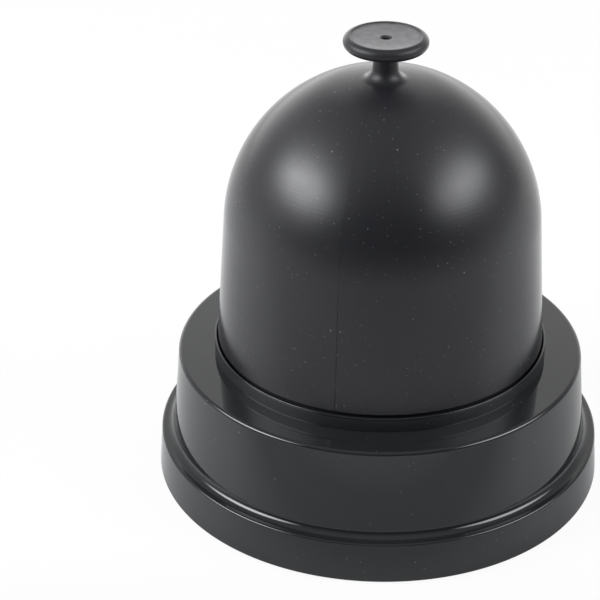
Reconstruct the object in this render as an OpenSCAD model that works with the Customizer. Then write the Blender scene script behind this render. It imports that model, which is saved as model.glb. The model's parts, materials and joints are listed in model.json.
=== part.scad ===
// Press-down automatic dice shaker.
// A bell-shaped dome stands on a sprung ring in the collar of a two-step round base.
// Pressing the dome closes a switch, and a small motor spins the ribbed turntable under the dice.
// Heights are measured up from the table, and radii from the axis of the dome and the turntable.

/* [Base housing] */
// Width of the flat top between its outer edge and the collar
shelf_w = 11; // [10:0.05:12.5]
// How far the upper step's wall leans in over its height
tier_lean = 1.85; // [1:0.05:2.5]
// Width of the ledge between the two steps
ledge_w = 4; // [3.4:0.1:5]
// Height of the lower step, from the lower edge to its shoulder
foot_h = 12.5; // [11.5:0.1:14]
// How far the lower step's wall leans in over its height
foot_lean = 0.8; // [0.2:0.1:1.2]
// Radius of the rounded edge on the lower step
foot_edge_r = 0.7; // [0.4:0.1:0.8]
// Radius of the cove between the two steps
cove_r = 2.5; // [1:0.1:2.6]
// Radius of the rounded edge round the flat top
top_edge_r = 1.2; // [0.6:0.1:2]
// Wall thickness of the housing
wall = 2.4; // [1.8:0.1:2.6]

/* [Collar] */
// Radial gap between the dome's lower edge and the collar
collar_gap = 0.25; // [0.25:0.05:0.6]
// Height of the collar above the flat top
collar_rise = 4.3; // [3:0.1:5.5]
// Wall thickness of the collar
collar_wall = 0.7; // [0.7:0.1:1.6]

/* [Dome] */
// Outer radius of the dome at its lower edge
dome_rim_r = 48.9; // [45:0.1:52]
// Height of the dome's straight wall
dome_wall_h = 39.3; // [32:0.1:46]
// Inward taper of the straight wall in degrees
dome_taper = 3.55; // [2:0.05:5]
// Radius of the arc that closes the dome
crown_r = 47.2; // [46:0.1:52]
// Steepness in degrees at which the crown starts to flatten
crown_blend_at = 62; // [58:1:66]
// Radius of the blend between the crown's arc and its cap
crown_blend_r = 28; // [24:1:34]
// Radius of the flat cap round the neck
crown_cap_r = 68; // [60:1:90]
// Wall thickness of the dome
dome_wall = 2.2; // [1.6:0.1:2.6]

/* [Knob] */
// Radius of the neck under the knob
neck_r = 3.7; // [3:0.1:5]
// Radius of the flare where the neck meets the dome
neck_flare_r = 4.5; // [1:0.1:5]
// Height of the knob's top above the crown of the dome
knob_rise = 12.8; // [11.2:0.1:15]
// Outer radius of the knob
knob_r = 12.2; // [10:0.1:15]
// Thickness of the knob's rounded rim
knob_rim_t = 3.7; // [2.4:0.1:4.2]
// Depth of the dished top of the knob
knob_dish = 1; // [0.6:0.1:1.4]
// Radius of the hole in the middle of the knob
knob_hole_r = 1.65; // [1:0.05:2]
// Depth of the hole in the middle of the knob
knob_hole_depth = 6; // [3:0.5:8]

/* [Press action] */
// Height between the gear deck and the underside of the flat top
ring_room = 5.6; // [5:0.1:8]
// How far the dome and its ring go down when pressed
press_travel = 0.5; // [0.3:0.05:0.5]
// Gap between the collar and the lower edge of the dome
press_gap = 0.6; // [0.6:0.1:2]
// Height of the ring's lip inside the dome
lip_h = 4; // [2:0.5:6]
// Wall thickness of the ring's lip
lip_t = 1.6; // [1.2:0.1:2]
// Radial clearance between the lip and the dome
lip_gap = 0.4; // [0.3:0.05:0.6]
// Radial clearance between the ring and the collar
ring_gap = 0.35; // [0.3:0.05:0.5]
// Thickness of the flange at the bottom of the ring
flange_t = 2; // [1.5:0.1:2.5]
// How far the flange reaches out past the ring
flange_reach = 2.2; // [1.8:0.1:2.4]
// Outer diameter of a return spring
spring_d = 4.2; // [3.6:0.1:4.4]
// Wire diameter of a return spring
spring_wire = 0.5; // [0.4:0.05:0.6]
// Number of turns in a return spring
spring_turns = 4.5; // [3.5:0.5:5.5]

/* [Turntable] */
// Radial gap between the turntable and the ring
table_gap = 0.8; // [0.5:0.1:1.2]
// Thickness of the turntable
table_t = 2; // [1.6:0.1:2.4]
// Number of ribs on the turntable
rib_count = 4; // [3:1:6]
// Radius of the half-round ribs
rib_r = 2.2; // [1.6:0.1:2.6]
// Height of the turntable's hub between the drive gear and the plate
hub_h = 1.6; // [1.2:0.1:2.4]

/* [Gears and spindle] */
// Module of the gears
gear_module = 0.8; // [0.7:0.05:0.9]
// Number of teeth on the drive gear
gear_teeth = 48; // [44:4:52]
// Number of teeth on the motor pinion
pinion_teeth = 12; // [12:2:14]
// Width of the gear teeth
gear_w = 4; // [3:0.2:4.4]
// Backlash between the teeth, measured along the pitch circle
backlash = 0.2; // [0.12:0.02:0.28]
// Diameter of the spindle
spindle_d = 4; // [3.6:0.1:4.4]
// Wall thickness of the spindle bush
bush_wall = 1; // [0.8:0.1:1.4]
// Length of the bush below its flange
bush_len = 7; // [6:0.5:8]
// Radial running clearance of the spindle and the motor shaft
run_gap = 0.05; // [0.03:0.01:0.08]
// Thickness of the gear deck
deck_t = 2; // [1.6:0.1:2.4]

/* [Motor] */
// Diameter of the motor can across its round sides
motor_d = 20.1; // [19:0.1:21]
// Thickness of the motor can across its flats
motor_flat = 15.1; // [14:0.1:16]
// Length of the motor can
can_len = 20.4; // [19:0.2:21]
// Length of the motor's plastic end cap
cap_len = 4.6; // [4:0.1:5]
// Diameter of the motor shaft
shaft_d = 2; // [1.8:0.1:2.2]
// Diameter of the bearing boss on the motor's front
boss_d = 6.1; // [5.5:0.1:6.5]
// Height of the bearing boss
boss_h = 1.5; // [1:0.1:1.6]

/* [Batteries] */
// Diameter of a battery cell
cell_d = 14.3; // [13.8:0.1:14.5]
// Length of a battery cell with its cap
cell_len = 50.3; // [49.5:0.1:50.5]
// Space between neighbouring cells
cell_space = 0.9; // [0.5:0.1:1.2]
// Clearance round the cells in their well
cell_gap = 0.4; // [0.2:0.05:0.6]
// Wall thickness of the battery well
well_t = 1.6; // [1.2:0.1:2]
// Length of a contact spring
contact_len = 5; // [4.4:0.1:5.4]
// Thickness of a contact plate
plate_t = 0.5; // [0.3:0.05:0.6]

/* [Bottom cover and door] */
// Thickness of the bottom cover
cover_t = 2.4; // [2.2:0.1:2.8]
// How far the bottom cover sits up inside the housing's edge
cover_recess = 0.8; // [0.4:0.1:1.2]
// Gap between the bottom cover and the housing's wall
cover_gap = 0.35; // [0.2:0.05:0.5]
// Thickness of the battery door
door_t = 1.8; // [1.6:0.1:1.9]
// Ledge all round the battery opening that the door lies in
door_ledge = 1.6; // [1.4:0.1:2]
// Gap round the battery door
door_gap = 0.3; // [0.25:0.05:0.4]
// Diameter of the door's hinge pins
pin_d = 1.2; // [1:0.05:1.3]
// Length of the door's hinge pins
pin_len = 2.5; // [2:0.1:3]
// Diameter of a rubber foot
pad_d = 9; // [7:0.5:10]
// How far a rubber foot stands out below the housing
pad_proud = 0.6; // [0.4:0.1:1]
// How deep a rubber foot sits in the bottom cover
pad_seat = 1; // [0.6:0.1:1.2]

/* [Fasteners] */
// Shank diameter of a housing screw
screw_d = 2.9; // [2.6:0.1:3]
// Head diameter of a housing screw
screw_head_d = 5.6; // [5:0.1:5.8]
// Shank diameter of a deck screw
deck_screw_d = 2.2; // [2:0.1:2.4]
// Head diameter of a deck screw
deck_head_d = 4.4; // [4:0.1:4.8]
// Diameter of the screw that holds the turntable
table_screw_d = 2.2; // [2:0.1:2.4]

/* [Switch and wires] */
// Side of the square switch body
switch_w = 6; // [5.6:0.1:6.2]
// Diameter of the switch plunger
plunger_d = 3.2; // [2.8:0.1:3.4]
// Diameter of a wire over its insulation
wire_d = 1.2; // [1:0.1:1.3]

/* [Hidden] */
$fn = 96;
quarter_turns = [0, 90, 180, 270];
// Small gap between faces that only just clear each other
touch = 0.1;
// Depth by which joined bodies run into each other
eps = 0.01;
// How far a cut runs on past the surface it opens
past = 1;

// Sprung ring that carries the dome, from the dome's lower edge outward and inward
collar_r = dome_rim_r + collar_gap;
ring_r = collar_r - ring_gap;
flange_r = ring_r + flange_reach;
seat_step = 1;
seat_r = ring_r - seat_step;
seat_h = 4;
lip_r = dome_rim_r - dome_wall - lip_gap;
ring_bore_r = lip_r - lip_t;

// Radii of the housing
tier_top_r = collar_r + collar_wall + shelf_w;
tier_low_r = tier_top_r + tier_lean;
tier_inner_r = tier_top_r - wall;
foot_top_r = tier_low_r + ledge_w;
foot_r = foot_top_r + foot_lean;
low_edge_r = 0.5;
collar_fillet_r = 0.25;
collar_edge_r = 0.25;

// Bottom cover, its door and the battery well
base_z = pad_proud;
shoulder_z = base_z + foot_h;
cover_z = base_z + cover_recess;
cover_top_z = cover_z + cover_t;
cover_r = foot_r - foot_lean * (cover_recess + cover_t) / foot_h - wall - cover_gap;
door_top_z = cover_z + door_t;
cell_r = cell_d / 2;
cell_z = door_top_z + cell_gap + cell_r;
cell_pitch = cell_d + cell_space;
cell_cap_r = 2.7;
cell_cap_h = 1.1;
cell_edge_r = 0.8;
cell_rim_w = 1.5;
cell_rim_h = 0.3;
cell_count = 3;
well_w = cell_pitch * (cell_count - 1) + cell_d + 2 * cell_gap;
well_x0 = 3;
well_x = well_x0 + well_w / 2;
well_len = cell_len + contact_len + 2 * plate_t + 4 * touch;
well_y1 = well_len / 2;
well_roof_z = cell_z + cell_r + cell_gap;
well_top_z = well_roof_z + well_t;
divider_w = 4.8;
divider_h = 3.4;
divider_inset = 8;
door_y1 = well_y1 + door_ledge;
door_x0 = well_x0 - door_ledge;
door_x1 = well_x0 + well_w + door_ledge;
hinge_z = cover_z + door_t / 2;
hinge_y = door_y1 - door_gap - door_t / 2;
latch_w = 12;
latch_t = 1.2;
latch_h = 0.3;
latch_slot_w = 1;
latch_slot_len = 3.4;
notch_r = 8;
notch_depth = 1;
grip_count = 4;
grip_pitch = 1.6;
grip_inset = 3.8;
grip_depth = 0.4;
pad_r = (cover_r + door_x1) / 2;
pad_edge_r = 1;

// Contacts, with a solder tab at each end of the row of cells
contact_d = 6;
contact_wire = 0.6;
contact_turns = 3;
plate_inset = 1.5;
plate_half_w = cell_r - plate_inset;
plate_foot = 1;
plate_y = well_y1 - touch - plate_t / 2;
tab_w = 3;
tab_rise = 2;
tab_top_z = well_top_z + tab_rise;
tab_places = [[cell_x(2), plate_y], [cell_x(0), -plate_y]];

// Motor, held between the cradle in the cover and the deck
cradle_rise = 1.4;
cradle_z = cover_top_z + cradle_rise;
cradle_gap = 0.15;
cradle_wall = 1.6;
cradle_half_len = 7;
cradle_grip_h = 8;
cradle_rib_y = 4;
cradle_rib_t = 2;
can_z = cradle_z + cap_len;
can_t = 0.8;
cap_inset = 0.4;
rear_boss_h = 0.8;
armature_gap = 0.5;
armature_rear = 4;
armature_front = 5;
armature_r = motor_flat / 2 - can_t - armature_gap;
armature_z = can_z + armature_rear;
armature_top_z = can_z + can_len - armature_front;
magnet_gap = 0.4;
magnet_cut_y = 3.5;
magnet_over = 1;
slot_count = 3;
slot_mouth = 1.2;
slot_lip = 0.6;
winding_r = 2;
winding_over = 1.4;
slot_pcd_r = armature_r - winding_r - slot_lip;
motor_terminal_rise = 2.4;
motor_terminal_z = cradle_z + motor_terminal_rise;
motor_terminal_y = motor_d / 2 - cap_inset;
terminal_w = 1.6;
terminal_t = 0.5;
terminal_len = 2.4;
solder_inset = 0.7;

// Deck, gear train and spindle
deck_z = can_z + can_len;
deck_top_z = deck_z + deck_t;
deck_over = 0.6;
deck_r = flange_r + deck_over;
deck_rib_h = 3;
deck_rib_t = 1.6;
deck_rib_inset = 8;
gear_pitch_r = gear_module * gear_teeth / 2;
pinion_pitch_r = gear_module * pinion_teeth / 2;
motor_x = -(gear_pitch_r + pinion_pitch_r);
addendum = 0.74 * gear_module;
dedendum = 1.05 * gear_module;
pressure_angle = 20;
bush_r = spindle_d / 2 + run_gap + bush_wall;
bush_flange_t = 0.8;
bush_flange_w = 1.6;
bush_flange_r = bush_r + bush_flange_w;
bush_boss_t = 2;
bush_top_z = deck_top_z + bush_flange_t;
bush_z = deck_top_z - bush_len;
washer_t = 0.4;
washer_inset = 0.6;
gear_z = bush_top_z + washer_t + touch;
gear_top_z = gear_z + gear_w;
gear_rim_t = 1.6;
gear_web_t = 1.6;
gear_hole_count = 6;
gear_spoke_t = 1;
hub_r = 6;
table_z = gear_top_z + hub_h;
table_top_z = table_z + table_t;
table_r = ring_bore_r - table_gap;
table_bead_r = 1.2;
rib_inset = 6;
clip_t = 0.6;
clip_z = bush_z - touch - clip_t;
clip_groove = 0.5;
clip_reach = 1.2;
spindle_tail = 1.4;
spindle_z = clip_z - spindle_tail;
table_head_d = 2.2 * table_screw_d;
table_head_h = 1.6;
table_screw_len = 6;
table_screw_room = 1;
pinion_lift = 0.9;
pinion_over = 0.5;
pinion_z = deck_top_z + pinion_lift;
pinion_top_z = gear_top_z + pinion_over;
shaft_inset = 2;
shaft_over = 0.6;
shaft_z = cradle_z + shaft_inset;
shaft_top_z = pinion_top_z + shaft_over;

// Heights of the housing's top, the ring and the dome, which the deck carries
under_top_z = deck_top_z + ring_room;
top_z = under_top_z + wall;
collar_z = top_z + collar_rise;
rim_z = collar_z + press_gap;
flange_top_z = under_top_z - touch;
flange_z = flange_top_z - flange_t;

// Screw posts near the wall
post_d = 7;
post_sink = 0.35;
post_r = tier_inner_r - post_d / 2 + post_sink;
post_angles = [for (a = quarter_turns) a + 45];
post_lift = 4.8;
post_floor_z = cover_top_z + post_lift;
post_floor_t = 2;
screw_len = 9;
screw_room = 1;
screw_head_h = 1.8;
screw_slack = 0.15;
pilot_gap = 0.05;
pocket_gap = 0.3;
pocket_wall = 1.6;

// Deck fastening and spring cups
deck_post_d = 5.6;
deck_post_gap = 0.8;
ear_r = tier_inner_r - deck_post_d / 2 - deck_post_gap;
deck_head_h = 1.5;
deck_screw_inset = 0.8;
deck_screw_room = 0.4;
deck_screw_end_z = under_top_z - deck_screw_inset;
spring_r = spring_d / 2;
spring_pcd_r = flange_r - spring_r - touch;
spring_angles = [for (a = quarter_turns) a + 22.5];
cup_t = 0.7;
cup_floor_t = 1.2;
cup_depth = 4;
cup_r = spring_r + touch + cup_t;
cup_floor_z = deck_top_z - cup_depth;
spring_len = flange_z - cup_floor_z;

// Switch in the deck, under the ring's flange
switch_angle = 157.5;
switch_inset = 0.6;
switch_drop = 1.4;
switch_rise = 1;
switch_r = ring_bore_r + plunger_d / 2 + switch_inset;
switch_z = deck_z - switch_drop;
switch_top_z = deck_top_z + switch_rise;
switch_ear = 1;
switch_ear_t = 0.5;
plunger_hold = 1.1;
plunger_top_z = flange_z - touch;
plunger_z = switch_top_z - plunger_hold;
plunger_hole_z = plunger_z - press_travel - touch;
switch_terminal_x = -1;
switch_terminal_y = 1.8;

// Dome outline: a straight tapered wall, then one arc up to the axis
crown_tangent_z = rim_z + dome_wall_h;
crown_tangent_r = dome_rim_r - dome_wall_h * tan(dome_taper);
crown_cx = crown_tangent_r - crown_r * cos(dome_taper);
crown_cz = crown_tangent_z - crown_r * sin(dome_taper);
crown_blend_cx = crown_cx + (crown_r - crown_blend_r) * cos(crown_blend_at);
crown_blend_cz = crown_cz + (crown_r - crown_blend_r) * sin(crown_blend_at);
crown_cap_at = acos(crown_blend_cx / (crown_cap_r - crown_blend_r));
crown_cap_cz = crown_blend_cz - (crown_cap_r - crown_blend_r) * sin(crown_cap_at);
crown_z = crown_cap_cz + crown_cap_r;
knob_top_z = crown_z + knob_rise;
knob_rim_r = knob_rim_t / 2;
knob_under_z = knob_top_z - knob_rim_t;
knob_fillet_r = 1.6;
knob_cone_h = 0.6;
knob_lip_r = 0.5;

// Wire routes, from one solder point to the other
battery_route = [
  tab_end(0), tab_end(0) + [0, 0, 1.2], [36, 30, 24.5], [22, 32, 24.5], [6, 34, 24.5],
  [-10, 34, 24.5], [-24, 30.5, 24.5], [-35, 25, 24.5], switch_end(-1) - [0, 0, 1.4], switch_end(-1)
];
switch_route = [
  switch_end(1), switch_end(1) - [0, 0, 1.4], [-42, 14.5, 20], [-37, 15, 14.5], [-30, 14.5, 11],
  motor_end(1) + [0, 0, 1.4], motor_end(1)
];
return_route = [
  motor_end(-1), motor_end(-1) + [0, 0, 1.4], [-21, -15, 13], [-13, -20, 18.5], [-3, -25, 23],
  [5, -27.5, 24.3], tab_end(1) + [0, 0, 1.4], tab_end(1)
];

// Least free gap between neighbouring turns, which is at the ends of a spring
echo(return_spring_free_gap = turn_gap(spring_wire, spring_turns, spring_len));
echo(contact_spring_free_gap = turn_gap(contact_wire, contact_turns, contact_len));

// Place of a battery cell along X
function cell_x(i) = well_x + (i - (cell_count - 1) / 2) * cell_pitch;

// Way a battery cell points: 1 for its cap towards +Y, -1 for its cap towards -Y
function cell_way(i) = i % 2 == 0 ? 1 : -1;

// Points where the wires are soldered on
function tab_end(i) = [tab_places[i][0], tab_places[i][1], tab_top_z];
function motor_end(s) =
  [motor_x, s * (motor_terminal_y + terminal_len - solder_inset), motor_terminal_z + terminal_t / 2];
function switch_end(s) = let (r = switch_r + switch_terminal_x, y = s * switch_terminal_y, a = switch_angle)
  [r * cos(a) - y * sin(a), r * sin(a) + y * cos(a), switch_z - terminal_len];

// Points along an arc, from the angle a0 to the angle a1
function arc(cx, cz, r, a0, a1, steps = 8) =
  [for (i = [0:steps]) let (a = a0 + (a1 - a0) * i / steps) [cx + r * cos(a), cz + r * sin(a)]];

// Points of the knob's dished top from the radius r0 and height z0 in to its hole, flat in the middle
function dish(r0, z0, floor_z, steps = 8) = [for (i = [1:steps])
  let (r = r0 + (knob_hole_r - r0) * i / steps) [r, floor_z + (z0 - floor_z) * pow(r / r0, 4)]];

// Half outline of the dome's skin at a depth d under the outer surface
function dome_outline(d) = concat(
  [[dome_rim_r - d / cos(dome_taper), rim_z]],
  arc(crown_cx, crown_cz, crown_r - d, dome_taper, crown_blend_at, 22),
  arc(crown_blend_cx, crown_blend_cz, crown_blend_r - d, crown_blend_at + 2, crown_cap_at, 6),
  arc(0, crown_cap_cz, crown_cap_r - d, crown_cap_at + 2, 90, 5)
);

// Angle in degrees whose involute starts on the base circle rb and reaches the radius r
function involute(rb, r) = r <= rb ? 0 : sqrt(r * r / (rb * rb) - 1) * 180 / PI - acos(rb / r);

// Outline of a spur gear with involute flanks that run straight in below the base circle
function gear_outline(teeth, pitch_r) =
  let (
    rb = pitch_r * cos(pressure_angle),
    tip = pitch_r + addendum,
    root = pitch_r - dedendum,
    low = max(rb, root),
    half = 90 / teeth - backlash / 4 / (2 * PI * pitch_r) * 360 + involute(rb, pitch_r),
    flank = [for (i = [0:4]) let (r = low + (tip - low) * i / 4) [r, half - involute(rb, r)]]
  )
  [for (k = [0:teeth - 1]) let (c = k * 360 / teeth)
    each concat(
      [root * [cos(c - half), sin(c - half)]],
      [for (i = [0:4]) flank[i][0] * [cos(c - flank[i][1]), sin(c - flank[i][1])]],
      [for (i = [4:-1:0]) flank[i][0] * [cos(c + flank[i][1]), sin(c + flank[i][1])]],
      [root * [cos(c + half), sin(c + half)]]
    )
  ];

function unit(v) = v / norm(v);

// Rise of a coil's centre line at the fraction t of its turns, slower at both ends
function coil_rise(t) = t - sin(360 * t) / (4 * PI);

// Gap between the wire of a spring's first turn and its second, measured along the spring
function turn_gap(wire, turns, height) = (height - wire) * coil_rise(1 / turns) - wire;

// Smooth curve through the points of a route, with a straight first and last stretch
function smooth(p, steps = 4) = let (n = len(p) - 1) concat(
  [p[0]],
  [for (i = [1:n - 2], k = [0:steps - 1])
    let (a = p[i - 1], b = p[i], c = p[i + 1], d = p[i + 2], t = k / steps)
    0.5 * (2 * b + (c - a) * t + (2 * a - 5 * b + 4 * c - d) * t * t + (3 * b - a - 3 * c + d) * t * t * t)],
  [p[n - 1], p[n]]
);

// Tube swept along the points of a path, with flat ends, as one polyhedron
module swept_tube(path, r, sides = 6, up = [0, 0, 1]) {
  last = len(path) - 1;
  rings = [for (i = [0:last])
    let (
      along = unit(path[min(i + 1, last)] - path[max(i - 1, 0)]),
      side = unit(cross(along, up)),
      over = cross(side, along)
    )
    for (k = [0:sides - 1]) path[i] + r * (cos(k * 360 / sides) * side + sin(k * 360 / sides) * over)
  ];
  walls = [for (i = [0:last - 1], k = [0:sides - 1])
    let (a = i * sides + k, b = i * sides + (k + 1) % sides)
    each [[a, b, b + sides], [a, b + sides, a + sides]]];
  end = last * sides;
  caps = [for (k = [1:sides - 2]) each [[0, k + 1, k], [end, end + k, end + k + 1]]];
  polyhedron(points = rings, faces = concat(walls, caps), convexity = 6);
}

// Helical spring standing on the XY plane, with a flatter turn at each end
module coil_spring(d, wire, turns, height) {
  r = (d - wire) / 2;
  steps = round(turns * 8);
  path = [for (i = [0:steps]) let (a = 360 * turns * i / steps)
    [r * cos(a), r * sin(a), wire / 2 + (height - wire) * coil_rise(i / steps)]];
  swept_tube(path, wire / 2);
}

// Insulated wire along a route
module wire(route) {
  swept_tube(smooth(route), wire_d / 2, 8, [0.3, 1, 0]);
}

// Straight box from its low corner to its high corner
module block(low, high) {
  translate(low) cube(high - low);
}

// Box like block, on the +Y side when s is 1 and mirrored to the -Y side when s is -1
module sided_block(s, low, high) {
  mirror([0, s > 0 ? 0 : 1, 0]) block(low, high);
}

// Cylinder between two heights
module disc(r, z0, z1) {
  translate([0, 0, z0]) cylinder(r = r, h = z1 - z0);
}

// Puts copies of a piece round the axis at the given angles
module around(angles, r) {
  for (a = angles) rotate(a) translate([r, 0, 0]) children();
}

module dome() {
  dish_z = knob_top_z - knob_dish;
  lip = arc(knob_r - knob_rim_r, knob_top_z - knob_lip_r, knob_lip_r, 100, 150, 4);
  outer = dome_outline(0);
  inner = dome_outline(dome_wall);
  flare_x = neck_r + neck_flare_r;
  flare_z = crown_cap_cz + sqrt(pow(crown_cap_r + neck_flare_r, 2) - pow(flare_x, 2));
  flare_a = 360 + atan2(crown_cap_cz - flare_z, -flare_x);
  flare = arc(flare_x, flare_z, neck_flare_r, flare_a, 180, 10);
  fillet_z = knob_under_z - knob_cone_h - knob_fillet_r;
  color("#262627") difference() {
    rotate_extrude($fn = 144) union() {
      polygon(concat(outer, [for (i = [len(inner) - 1:-1:0]) inner[i]]));
      polygon(concat(
        [[0, crown_z - dome_wall / 2], flare[0] - [0, dome_wall / 2]],
        flare,
        arc(neck_r + knob_fillet_r, fillet_z, knob_fillet_r, 180, 100, 6),
        arc(knob_r - knob_rim_r, knob_under_z + knob_rim_r, knob_rim_r, -90, 90, 16),
        lip,
        dish(lip[4][0], lip[4][1], dish_z),
        [[0, dish_z]]
      ));
    }
    disc(knob_hole_r, dish_z - knob_hole_depth, knob_top_z + past);
  }
}

// Half section of the two-step shell with its collar
module housing_outline() {
  polygon(concat(
    arc(foot_r - low_edge_r, base_z + low_edge_r, low_edge_r, -90, 0, 4),
    arc(foot_top_r - foot_edge_r, shoulder_z - foot_edge_r, foot_edge_r, 0, 90, 6),
    arc(tier_low_r + cove_r, shoulder_z + cove_r, cove_r, 270, 180, 8),
    arc(tier_top_r - top_edge_r, top_z - top_edge_r, top_edge_r, 0, 90, 8),
    arc(collar_r + collar_wall + collar_fillet_r, top_z + collar_fillet_r, collar_fillet_r, 270, 180, 4),
    arc(collar_r + collar_wall - collar_edge_r, collar_z - collar_edge_r, collar_edge_r, 0, 90, 4),
    arc(collar_r + collar_edge_r, collar_z - collar_edge_r, collar_edge_r, 90, 180, 4),
    [[collar_r, under_top_z], [tier_inner_r, under_top_z]],
    [[tier_low_r - wall, shoulder_z - wall], [foot_top_r - wall, shoulder_z - wall], [foot_r - wall, base_z]]
  ));
}

// Round post from the height z0 up into the housing's top, with a blind screw hole from below
module screw_post(d, hole_r, z0, hole_end_z) {
  difference() {
    disc(d / 2, z0, under_top_z + eps);
    disc(hole_r, z0 - past, hole_end_z);
  }
}

module top_housing() {
  color("#1b1b1c") union() {
    rotate_extrude($fn = 144) housing_outline();
    around(post_angles, post_r)
      screw_post(post_d, screw_d / 2 + pilot_gap, post_floor_z, post_floor_z + screw_len + screw_room);
    around(quarter_turns, ear_r)
      screw_post(deck_post_d, deck_screw_d / 2 + pilot_gap, deck_top_z, deck_screw_end_z + deck_screw_room);
  }
}

// Round plate with the battery well, the screw pockets and the motor cradle standing on it
module cover_body() {
  side = motor_flat / 2 + cradle_gap;
  disc(cover_r, cover_z, cover_top_z);
  block(
    [well_x0 - well_t, -well_y1 - well_t, cover_top_z - eps],
    [well_x0 + well_w + well_t, well_y1 + well_t, well_top_z]
  );
  around(post_angles, post_r) disc(screw_head_d / 2 + pocket_wall, cover_top_z - eps, post_floor_z);
  for (x = [motor_x - side - cradle_wall, motor_x + side])
    block(
      [x, -cradle_half_len, cover_top_z - eps],
      [x + cradle_wall, cradle_half_len, can_z + cradle_grip_h]
    );
  for (s = [-1, 1])
    sided_block(
      s,
      [motor_x - side, cradle_rib_y, cover_top_z - eps],
      [motor_x + side, cradle_rib_y + cradle_rib_t, cradle_z]
    );
}

// Ridge that hangs from the well's roof between two cells, at the place x
module cell_divider(x) {
  difference() {
    block(
      [x - divider_w / 2, -well_y1 + divider_inset, well_roof_z - divider_h],
      [x + divider_w / 2, well_y1 - divider_inset, well_roof_z + eps]
    );
    for (s = [-1, 1]) translate([x + s * cell_pitch / 2, -well_y1, cell_z]) rotate([-90, 0, 0])
      cylinder(r = cell_r + cell_gap / 2, h = well_len);
  }
}

module bottom_cover() {
  color("#202021") union() {
    difference() {
      cover_body();
      block([well_x0, -well_y1, cover_z - past], [well_x0 + well_w, well_y1, well_roof_z]);
      block([door_x0, -door_y1, cover_z - past], [door_x1, door_y1, door_top_z]);
      translate([door_x0 - pin_len - touch, hinge_y, hinge_z]) rotate([0, 90, 0])
        cylinder(r = pin_d / 2 + run_gap, h = door_x1 - door_x0 + 2 * (pin_len + touch));
      translate([well_x, -door_y1, cover_z - past]) cylinder(r = notch_r, h = past + notch_depth);
      around(post_angles, post_r) {
        disc(screw_head_d / 2 + pocket_gap, cover_z - past, post_floor_z - post_floor_t);
        disc(screw_d / 2 + screw_slack, cover_z, post_floor_z + past);
      }
      around(quarter_turns, pad_r) disc(pad_d / 2 + touch, cover_z - past, cover_z + pad_seat);
      for (t = tab_places)
        block(
          [t[0] - tab_w / 2 - touch, t[1] - plate_t / 2 - touch, well_roof_z - past],
          [t[0] + tab_w / 2 + touch, t[1] + plate_t / 2 + touch, well_top_z + past]
        );
    }
    for (i = [0:cell_count - 2]) cell_divider(cell_x(i) + cell_pitch / 2);
  }
}

module battery_door() {
  x0 = door_x0 + door_gap;
  x1 = door_x1 - door_gap;
  y0 = -door_y1 + door_gap;
  latch_y = -well_y1 + 2 * touch;
  color("#202021") difference() {
    union() {
      block([x0, y0, cover_z], [x1, hinge_y, door_top_z]);
      translate([x0, hinge_y, hinge_z]) rotate([0, 90, 0]) cylinder(r = door_t / 2, h = x1 - x0, $fn = 48);
      translate([x0 - pin_len, hinge_y, hinge_z]) rotate([0, 90, 0])
        cylinder(r = pin_d / 2, h = x1 - x0 + 2 * pin_len, $fn = 48);
      block(
        [well_x - latch_w / 2, latch_y, door_top_z - eps],
        [well_x + latch_w / 2, latch_y + latch_t, door_top_z + latch_h]
      );
    }
    for (i = [0:grip_count - 1]) translate([0, y0 + grip_inset + grip_pitch * i, 0])
      block(
        [well_x - latch_w / 2, 0, cover_z - past],
        [well_x + latch_w / 2, grip_pitch / 2, cover_z + grip_depth]
      );
    for (x = [well_x - latch_w / 2 - latch_slot_w, well_x + latch_w / 2])
      block([x, y0 - past, cover_z - past], [x + latch_slot_w, y0 + latch_slot_len, door_top_z + past]);
  }
}

module rubber_feet() {
  color("#2b2b2b") around(quarter_turns, pad_r) rotate_extrude($fn = 48) polygon(concat(
    [[0, 0]],
    arc(pad_d / 2 - pad_edge_r, pad_edge_r, pad_edge_r, -90, 0, 5),
    [[pad_d / 2, cover_z + pad_seat], [0, cover_z + pad_seat]]
  ));
}

// Cross-head screw that points up, with its head's bearing face at the height z
module pan_screw(d, head_d, head_h, z, end_z) {
  edge_r = head_h * 0.6;
  slot_w = head_d / 10;
  difference() {
    union() {
      rotate_extrude($fn = 48) polygon(concat(
        [[0, z - head_h]],
        arc(head_d / 2 - edge_r, z - head_h + edge_r, edge_r, -90, 0, 5),
        [[head_d / 2, z], [0, z]]
      ));
      disc(d / 2, z - eps, end_z - d / 2);
      translate([0, 0, end_z - d / 2]) cylinder(r1 = d / 2, r2 = d / 8, h = d / 2);
    }
    for (a = [0, 90]) rotate(a)
      block([-head_d / 4, -slot_w / 2, z - head_h - past], [head_d / 4, slot_w / 2, z - head_h * 0.4]);
  }
}

module housing_screws() {
  color("#8f9194") around(post_angles, post_r)
    pan_screw(screw_d, screw_head_d, screw_head_h, post_floor_z - post_floor_t, post_floor_z + screw_len);
}

module deck_screws() {
  color("#8f9194") around(quarter_turns, ear_r)
    pan_screw(deck_screw_d, deck_head_d, deck_head_h, deck_z, deck_screw_end_z);
}

module press_ring() {
  color("#1a1a1a") rotate_extrude($fn = 144) polygon(concat(
    [[ring_bore_r, flange_z], [flange_r, flange_z], [flange_r, flange_top_z], [ring_r, flange_top_z]],
    [[ring_r, rim_z - seat_h], [seat_r, rim_z - seat_h + seat_step], [seat_r, rim_z], [lip_r, rim_z]],
    arc(lip_r - lip_t / 2, rim_z + lip_h - lip_t / 2, lip_t / 2, 0, 180, 8)
  ));
}

module return_springs() {
  color("#b9bcc0") around(spring_angles, spring_pcd_r) translate([0, 0, cup_floor_z])
    coil_spring(spring_d, spring_wire, spring_turns, spring_len);
}

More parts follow.
